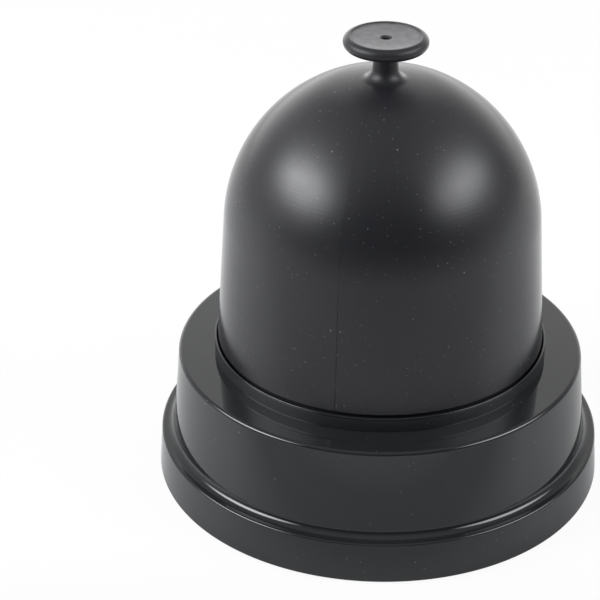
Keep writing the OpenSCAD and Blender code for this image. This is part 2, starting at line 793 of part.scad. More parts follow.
// Half-round rib with round ends, lying along X on the turntable
module table_rib() {
  x0 = hub_r + rib_inset;
  x1 = table_r - rib_inset;
  intersection() {
    translate([0, 0, table_top_z]) union() {
      translate([x0, 0, 0]) rotate([0, 90, 0]) cylinder(r = rib_r, h = x1 - x0, $fn = 32);
      for (x = [x0, x1]) translate([x, 0, 0]) sphere(r = rib_r, $fn = 32);
    }
    block([0, -rib_r, table_top_z - table_t / 2], [table_r, rib_r, table_top_z + rib_r]);
  }
}

module turntable() {
  color("#151515") difference() {
    union() {
      disc(hub_r, gear_top_z, table_z + eps);
      disc(table_r, table_z, table_top_z);
      rotate_extrude($fn = 144) translate([table_r - table_bead_r, table_top_z])
        circle(r = table_bead_r, $fn = 32);
      for (k = [0:rib_count - 1]) rotate(k * 360 / rib_count) table_rib();
    }
    disc(spindle_d / 2, gear_top_z - past, table_z);
    disc(table_screw_d / 2 + pilot_gap, table_z - past, table_top_z + past);
  }
}

module turntable_screw() {
  color("#8f9194") mirror([0, 0, 1])
    pan_screw(table_screw_d, table_head_d, table_head_h, -table_top_z, table_screw_len - table_z);
}

module spindle() {
  color("#a7aaae") difference() {
    disc(spindle_d / 2, spindle_z, table_z);
    disc(table_screw_d / 2 + pilot_gap, table_z - table_screw_len - table_screw_room, table_z + past);
    difference() {
      disc(spindle_d / 2 + past, clip_z - touch / 2, clip_z + clip_t + touch / 2);
      disc(spindle_d / 2 - clip_groove, clip_z - past, clip_z + clip_t + past);
    }
  }
}

module spindle_bush() {
  color("#b08d4a") difference() {
    union() {
      disc(bush_r, bush_z, bush_top_z);
      disc(bush_flange_r, deck_top_z, bush_top_z);
    }
    disc(spindle_d / 2 + run_gap, bush_z - past, bush_top_z + past);
  }
}

module spindle_clip() {
  grip_r = spindle_d / 2 - clip_groove + run_gap;
  mouth = grip_r * 0.9;
  color("#6d7074") difference() {
    disc(spindle_d / 2 + clip_reach, clip_z, clip_z + clip_t);
    disc(grip_r, clip_z - past, clip_z + clip_t + past);
    block([0, -mouth, clip_z - past], [spindle_d, mouth, clip_z + clip_t + past]);
  }
}

module thrust_washer() {
  color("#d8d5c8") difference() {
    disc(bush_flange_r - washer_inset, bush_top_z, bush_top_z + washer_t);
    disc(spindle_d / 2 + run_gap, bush_top_z - past, bush_top_z + washer_t + past);
  }
}

module drive_gear() {
  rim_in = gear_pitch_r - dedendum - gear_rim_t;
  web_z = gear_z + (gear_w - gear_web_t) / 2;
  hole_angles = [for (k = [0:gear_hole_count - 1]) k * 360 / gear_hole_count];
  color("#e4e0d2") difference() {
    union() {
      difference() {
        translate([0, 0, gear_z]) linear_extrude(gear_w) polygon(gear_outline(gear_teeth, gear_pitch_r));
        disc(rim_in, gear_z - past, web_z);
        disc(rim_in, web_z + gear_web_t, gear_top_z + past);
      }
      disc(hub_r, gear_z, gear_top_z);
    }
    disc(spindle_d / 2, gear_z - past, gear_top_z + past);
    around(hole_angles, (rim_in + hub_r) / 2)
      disc((rim_in - hub_r) / 2 - gear_spoke_t, gear_z - past, gear_top_z + past);
  }
}

// Plate with its screw arms, spring cups, ribs and the boss round the bush
module deck_body() {
  disc(deck_r, deck_z, deck_top_z);
  for (a = quarter_turns) rotate(a) {
    block([0, -deck_post_d / 2, deck_z], [ear_r, deck_post_d / 2, deck_top_z]);
    translate([ear_r, 0, 0]) disc(deck_post_d / 2, deck_z, deck_top_z);
  }
  disc(bush_r + bush_boss_t, bush_z, deck_z + eps);
  around(spring_angles, spring_pcd_r) disc(cup_r, cup_floor_z - cup_floor_t, deck_z + eps);
  for (a = post_angles) rotate(a)
    block(
      [bush_r + bush_boss_t / 2, -deck_rib_t / 2, deck_z - deck_rib_h],
      [deck_r - deck_rib_inset, deck_rib_t / 2, deck_z + eps]
    );
}

module gear_deck() {
  half = switch_w / 2 + touch;
  color("#2c2c2e") difference() {
    deck_body();
    disc(bush_r, bush_z - past, deck_top_z + past);
    translate([motor_x, 0, 0]) disc(boss_d / 2 + touch, deck_z - past, deck_top_z + past);
    around(quarter_turns, ear_r) disc(deck_screw_d / 2 + screw_slack, deck_z - past, deck_top_z + past);
    around(post_angles, post_r) disc(post_d / 2 + deck_over, deck_z - past, deck_top_z + past);
    around(spring_angles, spring_pcd_r) disc(cup_r - cup_t, cup_floor_z, deck_top_z + past);
    at_switch() block([-half, -half, deck_z - past], [half, half, deck_top_z + past]);
  }
}

// Outline of the motor can, with round sides and two flats
module motor_plan(inset) {
  intersection() {
    circle(d = motor_d - 2 * inset);
    square([motor_flat - 2 * inset, motor_d], center = true);
  }
}

module motor_can() {
  color("#9fa3a6") translate([motor_x, 0, 0]) difference() {
    union() {
      translate([0, 0, can_z]) linear_extrude(can_len) motor_plan(0);
      disc(boss_d / 2, deck_z - eps, deck_z + boss_h);
    }
    translate([0, 0, can_z - past]) linear_extrude(can_len + past - can_t) motor_plan(can_t);
    disc(shaft_d / 2 + run_gap, can_z, deck_z + boss_h + past);
  }
}

module motor_magnets() {
  z0 = armature_z - magnet_over;
  height = armature_top_z + magnet_over - z0;
  color("#4a4a4c") translate([motor_x, 0, z0]) linear_extrude(height) difference() {
    motor_plan(can_t);
    circle(r = armature_r + magnet_gap);
    square([motor_d, 2 * magnet_cut_y], center = true);
  }
}

module motor_end_cap() {
  color("#e8e6df") translate([motor_x, 0, 0]) difference() {
    union() {
      translate([0, 0, cradle_z]) linear_extrude(cap_len) motor_plan(cap_inset);
      disc(boss_d / 2, cradle_z - rear_boss_h, cradle_z + eps);
    }
    disc(shaft_d / 2 + run_gap, shaft_z - touch, can_z + past);
  }
}

module motor_terminals() {
  color("#c9a24a") translate([motor_x, 0, motor_terminal_z]) for (s = [-1, 1])
    sided_block(
      s,
      [-terminal_w / 2, motor_terminal_y, -terminal_t / 2],
      [terminal_w / 2, motor_terminal_y + terminal_len, terminal_t / 2]
    );
}

module motor_shaft() {
  color("#b5b8bb") translate([motor_x, 0, 0]) disc(shaft_d / 2, shaft_z, shaft_top_z);
}

// Puts copies in the three slots of the armature
module in_slots() {
  translate([motor_x, 0, 0])
    around([for (k = [0:slot_count - 1]) 60 + k * 360 / slot_count], slot_pcd_r) children();
}

module motor_armature() {
  z0 = armature_z - past;
  z1 = armature_top_z + past;
  color("#7c7f82") difference() {
    translate([motor_x, 0, 0]) disc(armature_r, armature_z, armature_top_z);
    translate([motor_x, 0, 0]) disc(shaft_d / 2, z0, z1);
    in_slots() {
      disc(winding_r, z0, z1);
      block([0, -slot_mouth / 2, z0], [armature_r, slot_mouth / 2, z1]);
    }
  }
}

module motor_windings() {
  color("#b4622e") in_slots() disc(winding_r, armature_z - winding_over, armature_top_z + winding_over);
}

module motor_pinion() {
  color("#b08d4a") translate([motor_x, 0, pinion_z]) difference() {
    rotate(180 / pinion_teeth) linear_extrude(pinion_top_z - pinion_z)
      polygon(gear_outline(pinion_teeth, pinion_pitch_r));
    disc(shaft_d / 2, -past, shaft_top_z - pinion_z);
  }
}

// Moves a piece to the switch's place on the deck
module at_switch() {
  rotate(switch_angle) translate([switch_r, 0, 0]) children();
}

module switch_body() {
  half = switch_w / 2;
  color("#2a2a2c") at_switch() difference() {
    union() {
      block([-half, -half, switch_z], [half, half, switch_top_z]);
      block([-half, -half - switch_ear, deck_top_z], [half, half + switch_ear, deck_top_z + switch_ear_t]);
    }
    disc(plunger_d / 2 + run_gap, plunger_hole_z, switch_top_z + past);
  }
}

module switch_plunger() {
  color("#c43a30") at_switch() disc(plunger_d / 2, plunger_z, plunger_top_z);
}

module switch_terminals() {
  color("#c9a24a") at_switch() for (s = [-1, 1])
    translate([switch_terminal_x, s * switch_terminal_y, switch_z - terminal_len])
      block([-terminal_t / 2, -terminal_w / 2, 0], [terminal_t / 2, terminal_w / 2, terminal_len]);
}

// Battery cell lying along Y
module battery_cell(i) {
  end_z = well_y1 - plate_t - 2 * touch;
  low_z = end_z - cell_len;
  color("#3a6ea5") translate([cell_x(i), 0, cell_z]) rotate([-cell_way(i) * 90, 0, 0])
    rotate_extrude($fn = 64) polygon(concat(
      [[0, low_z], [cell_r - cell_rim_w - cell_rim_h, low_z], [cell_r - cell_rim_w, low_z + cell_rim_h]],
      [[cell_r - cell_edge_r + cell_rim_h, low_z + cell_rim_h], [cell_r, low_z + cell_edge_r]],
      arc(cell_r - cell_edge_r, end_z - cell_cap_h - cell_edge_r, cell_edge_r, 0, 90, 4),
      [[cell_cap_r, end_z - cell_cap_h], [cell_cap_r, end_z], [0, end_z]]
    ));
}

module contact_springs() {
  color("#c3c6c9") for (i = [0:cell_count - 1])
    translate([cell_x(i), -cell_way(i) * (well_y1 - plate_t - touch), cell_z])
      rotate([-cell_way(i) * 90, 0, 0]) coil_spring(contact_d, contact_wire, contact_turns, contact_len);
}

// Contact plate on the side s of the well, behind the cells from number i to number k
module contact_plate(s, i, k) {
  sided_block(
    s,
    [cell_x(i) - plate_half_w, plate_y - plate_t / 2, door_top_z + plate_foot],
    [cell_x(k) + plate_half_w, plate_y + plate_t / 2, cell_z + plate_half_w]
  );
}

module contact_plates() {
  color("#c3c6c9") {
    contact_plate(1, 0, 1);
    contact_plate(1, 2, 2);
    contact_plate(-1, 1, 2);
    contact_plate(-1, 0, 0);
    for (t = tab_places) translate([t[0], t[1], 0])
      block([-tab_w / 2, -plate_t / 2, cell_z + plate_half_w - eps], [tab_w / 2, plate_t / 2, tab_top_z]);
  }
}

module battery_wire() {
  color("#b3261e") wire(battery_route);
}

module switch_wire() {
  color("#b3261e") wire(switch_route);
}

module return_wire() {
  color("#2a2a2a") wire(return_route);
}

dome();
top_housing();
bottom_cover();
battery_door();
rubber_feet();
housing_screws();
press_ring();
return_springs();
turntable();
turntable_screw();
spindle();
spindle_bush();
spindle_clip();
thrust_washer();
drive_gear();
gear_deck();
deck_screws();
motor_can();
motor_magnets();
motor_end_cap();
motor_terminals();
motor_shaft();
motor_armature();
motor_windings();
motor_pinion();
switch_body();
switch_plunger();
switch_terminals();
for (i = [0:cell_count - 1]) battery_cell(i);
contact_springs();
contact_plates();
battery_wire();
switch_wire();
return_wire();
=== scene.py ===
"""Automatic dice shaker: its smooth mouldings, springs, wires and finishes, and the studio round it."""

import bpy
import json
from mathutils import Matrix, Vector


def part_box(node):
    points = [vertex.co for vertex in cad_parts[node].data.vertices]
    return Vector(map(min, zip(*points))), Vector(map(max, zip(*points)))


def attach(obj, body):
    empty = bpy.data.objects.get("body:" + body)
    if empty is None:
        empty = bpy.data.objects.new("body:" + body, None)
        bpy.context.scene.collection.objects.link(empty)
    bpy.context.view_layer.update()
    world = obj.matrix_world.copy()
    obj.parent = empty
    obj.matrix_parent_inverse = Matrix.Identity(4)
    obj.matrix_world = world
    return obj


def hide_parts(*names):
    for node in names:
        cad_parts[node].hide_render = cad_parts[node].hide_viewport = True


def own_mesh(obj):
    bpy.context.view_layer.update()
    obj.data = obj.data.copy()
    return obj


bl_info = {
    "name": "Dice Shaker",
    "version": (1, 0, 0),
    "blender": (4, 5, 0),
    "location": "View3D > Sidebar > Dice Shaker",
    "description": "Builds the mouldings, springs, wires and finishes of a press-down dice shaker",
    "category": "Object",
}

import json
import math

import bmesh
import bpy
from bpy.props import FloatProperty, FloatVectorProperty, PointerProperty
from mathutils import Matrix, Vector

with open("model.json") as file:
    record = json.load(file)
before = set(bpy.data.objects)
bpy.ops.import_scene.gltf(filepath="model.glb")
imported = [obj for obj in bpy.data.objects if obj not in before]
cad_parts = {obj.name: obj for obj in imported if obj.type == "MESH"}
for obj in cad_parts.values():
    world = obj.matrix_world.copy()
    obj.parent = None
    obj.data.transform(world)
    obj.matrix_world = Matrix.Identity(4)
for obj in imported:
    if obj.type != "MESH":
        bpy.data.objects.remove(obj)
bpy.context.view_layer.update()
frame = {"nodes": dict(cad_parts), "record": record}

DOME_LOW, DOME_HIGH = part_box("dome")
HOUSING_LOW, HOUSING_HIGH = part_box("top_housing")
RING_LOW, RING_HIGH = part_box("press_ring")
SPRING_LOW, SPRING_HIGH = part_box("return_springs")

# Lengths in metres that several pieces share
COLLAR_RISE = 0.0043  # from the flat top to the collar's crest
RING_GAP = 0.00035  # between the collar and the press ring
LIP_GAP = 0.0004  # between the dome and the ring's lip
OVERLAP = 0.0001  # how far a post reaches into the moulding it stands on

# Facets round each kind of piece
SKIN_SIDES = 240
HOUSING_SIDES = 288
POST_SIDES = 48
DECK_POST_SIDES = 40
WIRE_SIDES = 16


def number(name, default, description, **kind):
    """A property that holds a plain number."""
    return FloatProperty(name=name, default=default, description=description, **kind)


def length(name, default, description):
    """A property that holds a length in metres."""
    return number(name, default, description, unit="LENGTH", subtype="DISTANCE", precision=5)


def angle(name, degrees, description):
    """A property that holds an angle."""
    return number(name, math.radians(degrees), description, subtype="ANGLE")


def share(name, default, description):
    """A property between 0 and 1."""
    return number(name, default, description, min=0, max=1, subtype="FACTOR")


def level(name, default, description):
    """A property for a brightness, where 1 is white."""
    return number(name, default, description, min=0, soft_max=2)


def colour(name, default, description):
    """A property that holds a linear colour."""
    return FloatVectorProperty(
        name=name, default=default, description=description, subtype="COLOR", min=0, max=1
    )


class DiceShakerDome(bpy.types.PropertyGroup):
    """Sizes of the dome and its knob; heights are above the table."""

    rim_radius: length("Rim radius", DOME_HIGH.x, "Outer radius of the dome's lower edge")
    rim_height: length("Rim height", DOME_LOW.z, "Height of the dome's lower edge")
    wall_height: length("Wall height", 0.0393, "Height of the straight tapered wall")
    taper: angle("Taper", 3.55, "Inward lean of the straight wall")
    crown_radius: length("Crown radius", 0.0472, "Radius of the arc that closes the dome")
    blend_at: angle("Blend at", 62, "Steepness at which the crown starts to flatten")
    blend_radius: length("Blend radius", 0.028, "Radius of the blend between the crown's arc and its cap")
    cap_radius: length("Cap radius", 0.068, "Radius of the flat cap round the neck")
    wall: length("Wall", 0.0022, "Wall thickness of the dome")
    neck_radius: length("Neck radius", 0.00355, "Radius of the neck under the knob")
    neck_foot: length("Neck foot", 0.0037, "Radius of the neck where it meets its flare")
    flare_radius: length("Flare radius", 0.0036, "Radius of the flare at the foot of the neck")
    knob_radius: length("Knob radius", 0.0122, "Outer radius of the knob")
    knob_height: length("Knob height", DOME_HIGH.z, "Height of the knob's top")
    knob_rim: length("Knob rim", 0.0037, "Thickness of the knob's rounded rim")
    knob_dish: length("Knob dish", 0.0006, "Depth of the dished top of the knob")
    knob_fillet: length("Knob fillet", 0.0016, "Radius of the fillet between the neck and the knob")
    hole_radius: length("Hole radius", 0.00165, "Radius of the hole in the knob")
    hole_depth: length("Hole depth", 0.006, "Depth of the hole in the knob")
    seam_angle: angle("Parting line", -104.5, "Direction of the mould's parting line, seen from above")
    seam_width: length("Parting line width", 0.00034, "Width of the parting line")
    seam_depth: length("Parting line depth", 0.00005, "Depth of the parting line")


class DiceShakerHousing(bpy.types.PropertyGroup):
    """Sizes of the two-step housing, its collar and the ring; heights are above the table."""

    base_height: length("Base height", HOUSING_LOW.z, "Height of the housing's lower edge")
    foot_radius: length("Foot radius", 0.0675, "Outer radius of the lower step at its lower edge")
    foot_lean: length("Foot lean", 0.0008, "How far the lower step's wall leans in")
    foot_height: length("Foot height", 0.0125, "Height of the lower step")
    foot_edge: length("Foot edge", 0.0007, "Radius of the rounded edge on the lower step")
    ledge: length("Ledge", 0.004, "Width of the ledge between the two steps")
    cove: length("Cove", 0.0025, "Radius of the cove between the two steps")
    tier_lean: length("Tier lean", 0.00185, "How far the upper step's wall leans in")
    top_height: length("Top height", HOUSING_HIGH.z - COLLAR_RISE, "Height of the flat top")
    top_edge: length("Top edge", 0.0012, "Radius of the rounded edge round the flat top")
    wall: length("Wall", 0.0024, "Wall thickness of the housing")
    collar_radius: length("Collar radius", 0.04915, "Inner radius of the collar")
    collar_wall: length("Collar wall", 0.0007, "Wall thickness of the collar")
    collar_edge: length("Collar edge", 0.00025, "Radius of the collar's edges")
    collar_height: length("Collar height", HOUSING_HIGH.z, "Height of the collar's crest")
    post_radius: length("Screw post radius", 0.0035, "Radius of the posts for the housing screws")
    deck_post_radius: length("Deck post radius", 0.0028, "Radius of the posts for the deck screws")
    ring_lip: length("Ring lip", 0.0016, "Wall thickness of the ring's lip inside the dome")
    ring_flange: length("Ring flange", 0.002, "Thickness of the flange at the foot of the ring")


class DiceShakerWound(bpy.types.PropertyGroup):
    """Sizes of the springs and the wires."""

    spring_diameter: length("Return spring diameter", 0.0042, "Outer diameter of a return spring")
    spring_wire: length("Return spring wire", 0.0005, "Wire diameter of a return spring")
    spring_turns: number("Return spring turns", 4.5, "Turns in a return spring")
    contact_diameter: length("Contact spring diameter", 0.006, "Outer diameter of a battery contact spring")
    contact_wire: length("Contact spring wire", 0.0006, "Wire diameter of a battery contact spring")
    contact_turns: number("Contact spring turns", 3, "Turns in a contact spring")
    wire_diameter: length("Wire diameter", 0.0012, "Diameter of a wire over its insulation")


class DiceShakerFinish(bpy.types.PropertyGroup):
    """Colours and surface of the mouldings that show."""

    dome_colour: colour("Dome colour", (0.0112, 0.0114, 0.0142), "Colour of the satin dome")
    dome_roughness: share("Dome roughness", 0.34, "Roughness of the satin dome")
    glancing_roughness: share("Glancing roughness", 0.13, "Roughness of the dome at a glancing angle")
    knob_roughness: share("Knob roughness", 0.48, "Roughness of the knob, which hands have dulled")
    housing_colour: colour("Housing colour", (0.0138, 0.0150, 0.0165), "Colour of the gloss housing")
    housing_roughness: share("Housing roughness", 0.06, "Roughness of the gloss housing")
    collar_roughness: share("Collar roughness", 0.45, "Roughness of the collar's wall")
    cover_colour: colour("Cover colour", (0.0060, 0.0060, 0.0064), "Colour of the cover and its door")
    gear_colour: colour("Gear colour", (0.730, 0.700, 0.610), "Colour of the moulded gear")
    sleeve_colour: colour("Cell sleeve", (0.040, 0.130, 0.330), "Colour of the battery cells' sleeve")
    # the colour of the dust specks, also used for the painted sheen in the knob's dish
    dust_and_sheen_colour: colour("Dust colour", (0.34, 0.34, 0.35), "Colour of the dust specks on the mouldings")
    # painted sheen: how far the knob's dish is lightened in patches
    dish_sheen: share("Dust film", 0.33, "How thickly dust lies in the knob's dish")


class DiceShakerStudio(bpy.types.PropertyGroup):
    """The camera, the lamps and the brightness of the surroundings."""

    lens: number("Lens", 126, "Focal length in millimetres", subtype="DISTANCE_CAMERA")
    camera_distance: length("Camera distance", 0.5487, "Distance of the camera in front of the object")
    camera_height: length("Camera height", 0.36578, "Height of the camera")
    camera_tilt: angle("Camera tilt", 29.559, "How far the camera looks down")
    camera_turn: angle("Camera turn", 2.521, "How far the camera looks to the left")
    lamp_distance: length("Lamp distance", 1.1, "Distance of the two lamps from the dome")
    lamp_width: length("Lamp width", 1.3, "Width of the two oval lamps")
    lamp_height: length("Lamp height", 0.61, "Height of the two oval lamps")
    left_lamp: number("Left lamp", 25, "Power of the left lamp", unit="POWER")
    right_lamp: number("Right lamp", 16, "Power of the right lamp", unit="POWER")
    behind: level("Behind", 1.26, "Brightness behind the object")
    left: level("Left", 0.75, "Brightness low on the left")
    right: level("Right", 0.38, "Brightness low on the right")
    above: level("Above", 0.42, "Brightness above")
    front: level("Front", 0.03, "Brightness in front of the object")
    floor_glow: share("Floor whiteness", 0.93, "How much of the floor's own white the camera sees")


# Outlines, as lists of (radius, height)


def arc(cx, cz, r, start, end, steps=12):
    """Points along an arc between two angles in degrees."""
    angles = (math.radians(start + (end - start) * i / steps) for i in range(steps + 1))
    return [(cx + r * math.cos(a), cz + r * math.sin(a)) for a in angles]


def line(a, b, steps):
    """Points from a towards b, without b."""
    return [(a[0] + (b[0] - a[0]) * i / steps, a[1] + (b[1] - a[1]) * i / steps) for i in range(steps)]


def dome_outline(dome):
    """Outline of the dome and knob, from inside the crown round the rim to the bottom of the hole."""
    rise = dome.rim_height + dome.wall_height
    tangent = dome.rim_radius - dome.wall_height * math.tan(dome.taper)
    cx = tangent - dome.crown_radius * math.cos(dome.taper)
    cz = rise - dome.crown_radius * math.sin(dome.taper)
    lean, blend_at = math.degrees(dome.taper), math.degrees(dome.blend_at)
    blend_x = cx + (dome.crown_radius - dome.blend_radius) * math.cos(dome.blend_at)
    blend_z = cz + (dome.crown_radius - dome.blend_radius) * math.sin(dome.blend_at)
    cap_from = math.acos(blend_x / (dome.cap_radius - dome.blend_radius))
    cap_z = blend_z - (dome.cap_radius - dome.blend_radius) * math.sin(cap_from)
    cap_at = math.degrees(cap_from)

    def crown(depth, top):
        """The crown's three arcs at a depth under its skin, from the wall to the angle top."""
        points = arc(cx, cz, dome.crown_radius - depth, lean, blend_at, 40)
        points += arc(blend_x, blend_z, dome.blend_radius - depth, blend_at, cap_at, 12)[1:]
        return points + arc(0, cap_z, dome.cap_radius - depth, cap_at, top, 10)[1:]

    points = crown(dome.wall, 90)[::-1]
    points[0] = (0, points[0][1])
    rim_inside = (dome.rim_radius - dome.wall / math.cos(dome.taper), dome.rim_height)
    points += line(points[-1], rim_inside, 8)[1:] + [rim_inside]
    edge = 0.00015
    points += [(dome.rim_radius - edge, dome.rim_height), (dome.rim_radius, dome.rim_height + edge)]
    # the outer skin, up to where the neck flares out of it
    flare_x = dome.neck_foot + dome.flare_radius
    flare_z = cap_z + math.sqrt((dome.cap_radius + dome.flare_radius) ** 2 - flare_x**2)
    meeting = math.degrees(math.atan2(flare_z - cap_z, flare_x))
    outer = crown(0, meeting)
    points += line(points[-1], outer[0], 24)[1:] + outer
    # the neck, the underside of the knob and its rounded rim
    rim = dome.knob_rim / 2
    under = dome.knob_height - dome.knob_rim
    fillet = dome.knob_fillet
    cone = 0.0006
    waist_z = under - cone - fillet
    draft = math.degrees(math.atan2(dome.neck_foot - dome.neck_radius, waist_z - flare_z))
    points += arc(flare_x, flare_z, dome.flare_radius, meeting + 180, 180 - draft, 16)[1:]
    points += arc(dome.neck_radius + fillet, waist_z, fillet, 180 + draft, 100, 12)
    points += arc(dome.knob_radius - rim, under + rim, rim, -90, 90, 28)
    brow = 0.0005
    points += arc(dome.knob_radius - rim, dome.knob_height - brow, brow, 96, 150, 8)
    # the dish, flat in the middle, and the hole
    edge_r, edge_z = points[-1]
    floor = dome.knob_height - dome.knob_dish
    bevel = 0.0001
    steps = 16
    for i in range(1, steps + 1):
        r = edge_r + (dome.hole_radius + bevel - edge_r) * i / steps
        points.append((r, floor + (edge_z - floor) * (r / edge_r) ** 3))
    points += [(dome.hole_radius, floor - bevel), (dome.hole_radius, floor - dome.hole_depth)]
    points.append((0, floor - dome.hole_depth))
    return points


def housing_outline(housing):
    """Outline of the two-step shell with its collar."""
    base = housing.base_height
    shoulder = base + housing.foot_height
    foot_top = housing.foot_radius - housing.foot_lean
    tier_low = foot_top - housing.ledge
    tier_top = tier_low - housing.tier_lean
    top = housing.top_height
    edge_r = housing.collar_edge
    crest = housing.collar_height - edge_r
    outer = housing.collar_radius + housing.collar_wall
    wall = housing.wall
    under = top - wall
    low_edge = 0.0005
    points = arc(housing.foot_radius - low_edge, base + low_edge, low_edge, -90, 0, 6)
    edge = arc(foot_top - housing.foot_edge, shoulder - housing.foot_edge, housing.foot_edge, 0, 90)
    points += line(points[-1], edge[0], 4)[1:] + edge
    cove = arc(tier_low + housing.cove, shoulder + housing.cove, housing.cove, 270, 180, 20)
    shelf = arc(tier_top - housing.top_edge, top - housing.top_edge, housing.top_edge, 0, 90, 14)
    points += cove + line(cove[-1], shelf[0], 12)[1:] + shelf
    points.append((outer, top))
    points += arc(outer - edge_r, crest, edge_r, 0, 90, 6)
    points += arc(housing.collar_radius + edge_r, crest, edge_r, 90, 180, 6)
    points += [(housing.collar_radius, under), (tier_top - wall, under)]
    points += [(tier_low - wall, shoulder - wall), (foot_top - wall, shoulder - wall)]
    points.append((housing.foot_radius - wall, base))
    return points


def ring_outline(housing, dome):
    """Outline of the sprung ring: flange, wall inside the collar, seat for the dome and lip inside it."""
    ring = housing.collar_radius - RING_GAP
    bore = dome.rim_radius - dome.wall - LIP_GAP - housing.ring_lip
    rim_height = dome.rim_height
    flange_top = RING_LOW.z + housing.ring_flange
    edge = 0.0003
    chamfer = 0.001
    points = [(bore, RING_LOW.z)]
    points += arc(RING_HIGH.x - edge, RING_LOW.z + edge, edge, -90, 0, 5)
    points += arc(RING_HIGH.x - edge, flange_top - edge, edge, 0, 90, 5)
    points += [(ring, flange_top), (ring, rim_height - 0.004), (ring - chamfer, rim_height - 0.003)]
    points += arc(ring - chamfer - edge, rim_height - edge, edge, 0, 90, 5)
    points.append((bore + housing.ring_lip, rim_height))
    lip = housing.ring_lip / 2
    points += arc(bore + lip, RING_HIGH.z - lip, lip, 0, 180, 16)
    return points


def post_outline(radius, hole, low, high, hole_top):
    """Outline of a round post with a blind hole from below."""
    edge = 0.0003
    points = [(0, hole_top), (hole, hole_top - hole / 2), (hole, low + edge), (hole + edge, low)]
    return points + arc(radius - edge, low + edge, edge, -90, 0, 5) + [(radius, high), (0, high)]


# Meshes


def finish_mesh(name, form, sharp=32):
    """Turns a form into a named piece, smooth but for its edges over the given angle in degrees."""
    bmesh.ops.recalc_face_normals(form, faces=form.faces)
    mesh = bpy.data.meshes.new(name)
    form.to_mesh(mesh)
    form.free()
    mesh.polygons.foreach_set("use_smooth", [True] * len(mesh.polygons))
    mesh.set_sharp_from_angle(angle=math.radians(sharp))
    piece = bpy.data.objects.new(name, mesh)
    bpy.context.scene.collection.objects.link(piece)
    return piece


def held(outline, margin=0.00012):
    """The outline with a point near both ends of each long stretch, which keeps its shading straight."""
    points = []
    for a, b in zip(outline, outline[1:] + outline[:1]):
        points.append(a)
        reach = math.dist(a, b)
        if reach > 8 * margin and (a[0] > margin or b[0] > margin):
            for t in (margin / reach, 1 - margin / reach):
                points.append((a[0] + (b[0] - a[0]) * t, a[1] + (b[1] - a[1]) * t))
    return points


def add_lathe(form, outline, angles, place=Matrix.Identity(4), shift=None):
    """Adds an outline turned round the Z axis, closed unless both its ends lie on the axis."""
    open_ended = outline[0][0] < 1e-9 and outline[-1][0] < 1e-9
    rows = []
    for r, z in held(outline):
        if r < 1e-9:
            rows.append([form.verts.new(place @ Vector((0, 0, z)))])
            continue
        row = []
        for a in angles:
            out = r + (shift(a, r, z) if shift else 0)
            row.append(form.verts.new(place @ Vector((out * math.cos(a), out * math.sin(a), z))))
        rows.append(row)
    pairs = list(zip(rows, rows[1:] if open_ended else rows[1:] + rows[:1]))
    count = len(angles)
    for low, high in pairs:
        for i in range(count):
            k = (i + 1) % count
            corners = [low[i % len(low)], low[k % len(low)], high[k % len(high)], high[i % len(high)]]
            corners = [c for n, c in enumerate(corners) if c not in corners[:n]]
            if len(corners) > 2:
                form.faces.new(corners)


def even_angles(count):
    """Angles spread evenly round a full turn."""
    return [2 * math.pi * i / count for i in range(count)]


def add_tube(form, path, radius, sides, up):
    """Adds a tube swept along a path, with flat ends."""
    last = len(path) - 1
    rows = []
    for i, point in enumerate(path):
        along = (path[min(i + 1, last)] - path[max(i - 1, 0)]).normalized()
        side = along.cross(up).normalized()
        over = side.cross(along)
        turn = [(math.cos(a), math.sin(a)) for a in even_angles(sides)]
        rows.append([form.verts.new(point + radius * (c * side + s * over)) for c, s in turn])
    for low, high in zip(rows, rows[1:]):
        for i in range(sides):
            k = (i + 1) % sides
            form.faces.new((low[i], low[k], high[k], high[i]))
    form.faces.new(rows[0])
    form.faces.new(list(reversed(rows[-1])))


def coil_path(diameter, wire, turns, height, steps=40):
    """Centre line of a spring standing on the XY plane, flatter in its first and last turn."""
    radius = (diameter - wire) / 2
    count = round(turns * steps)
    path = []
    for i in range(count + 1):
        t = i / count
        a = 2 * math.pi * turns * t
        rise = t - math.sin(2 * math.pi * t) / (4 * math.pi)
        path.append(Vector((radius * math.cos(a), radius * math.sin(a), wire / 2 + (height - wire) * rise)))
    return path


def smooth_path(points, steps=12):
    """Smooth curve through the points, straight in its first and last stretch."""
    path = [points[0]]
    for i in range(1, len(points) - 2):
        a, b, c, d = points[i - 1 : i + 3]
        square, cube = 2 * a - 5 * b + 4 * c - d, 3 * b - a - 3 * c + d
        for k in range(steps):
            t = k / steps
            path.append(0.5 * (2 * b + (c - a) * t + square * t**2 + cube * t**3))
    return path + [points[-2], points[-1]]


# Finishes


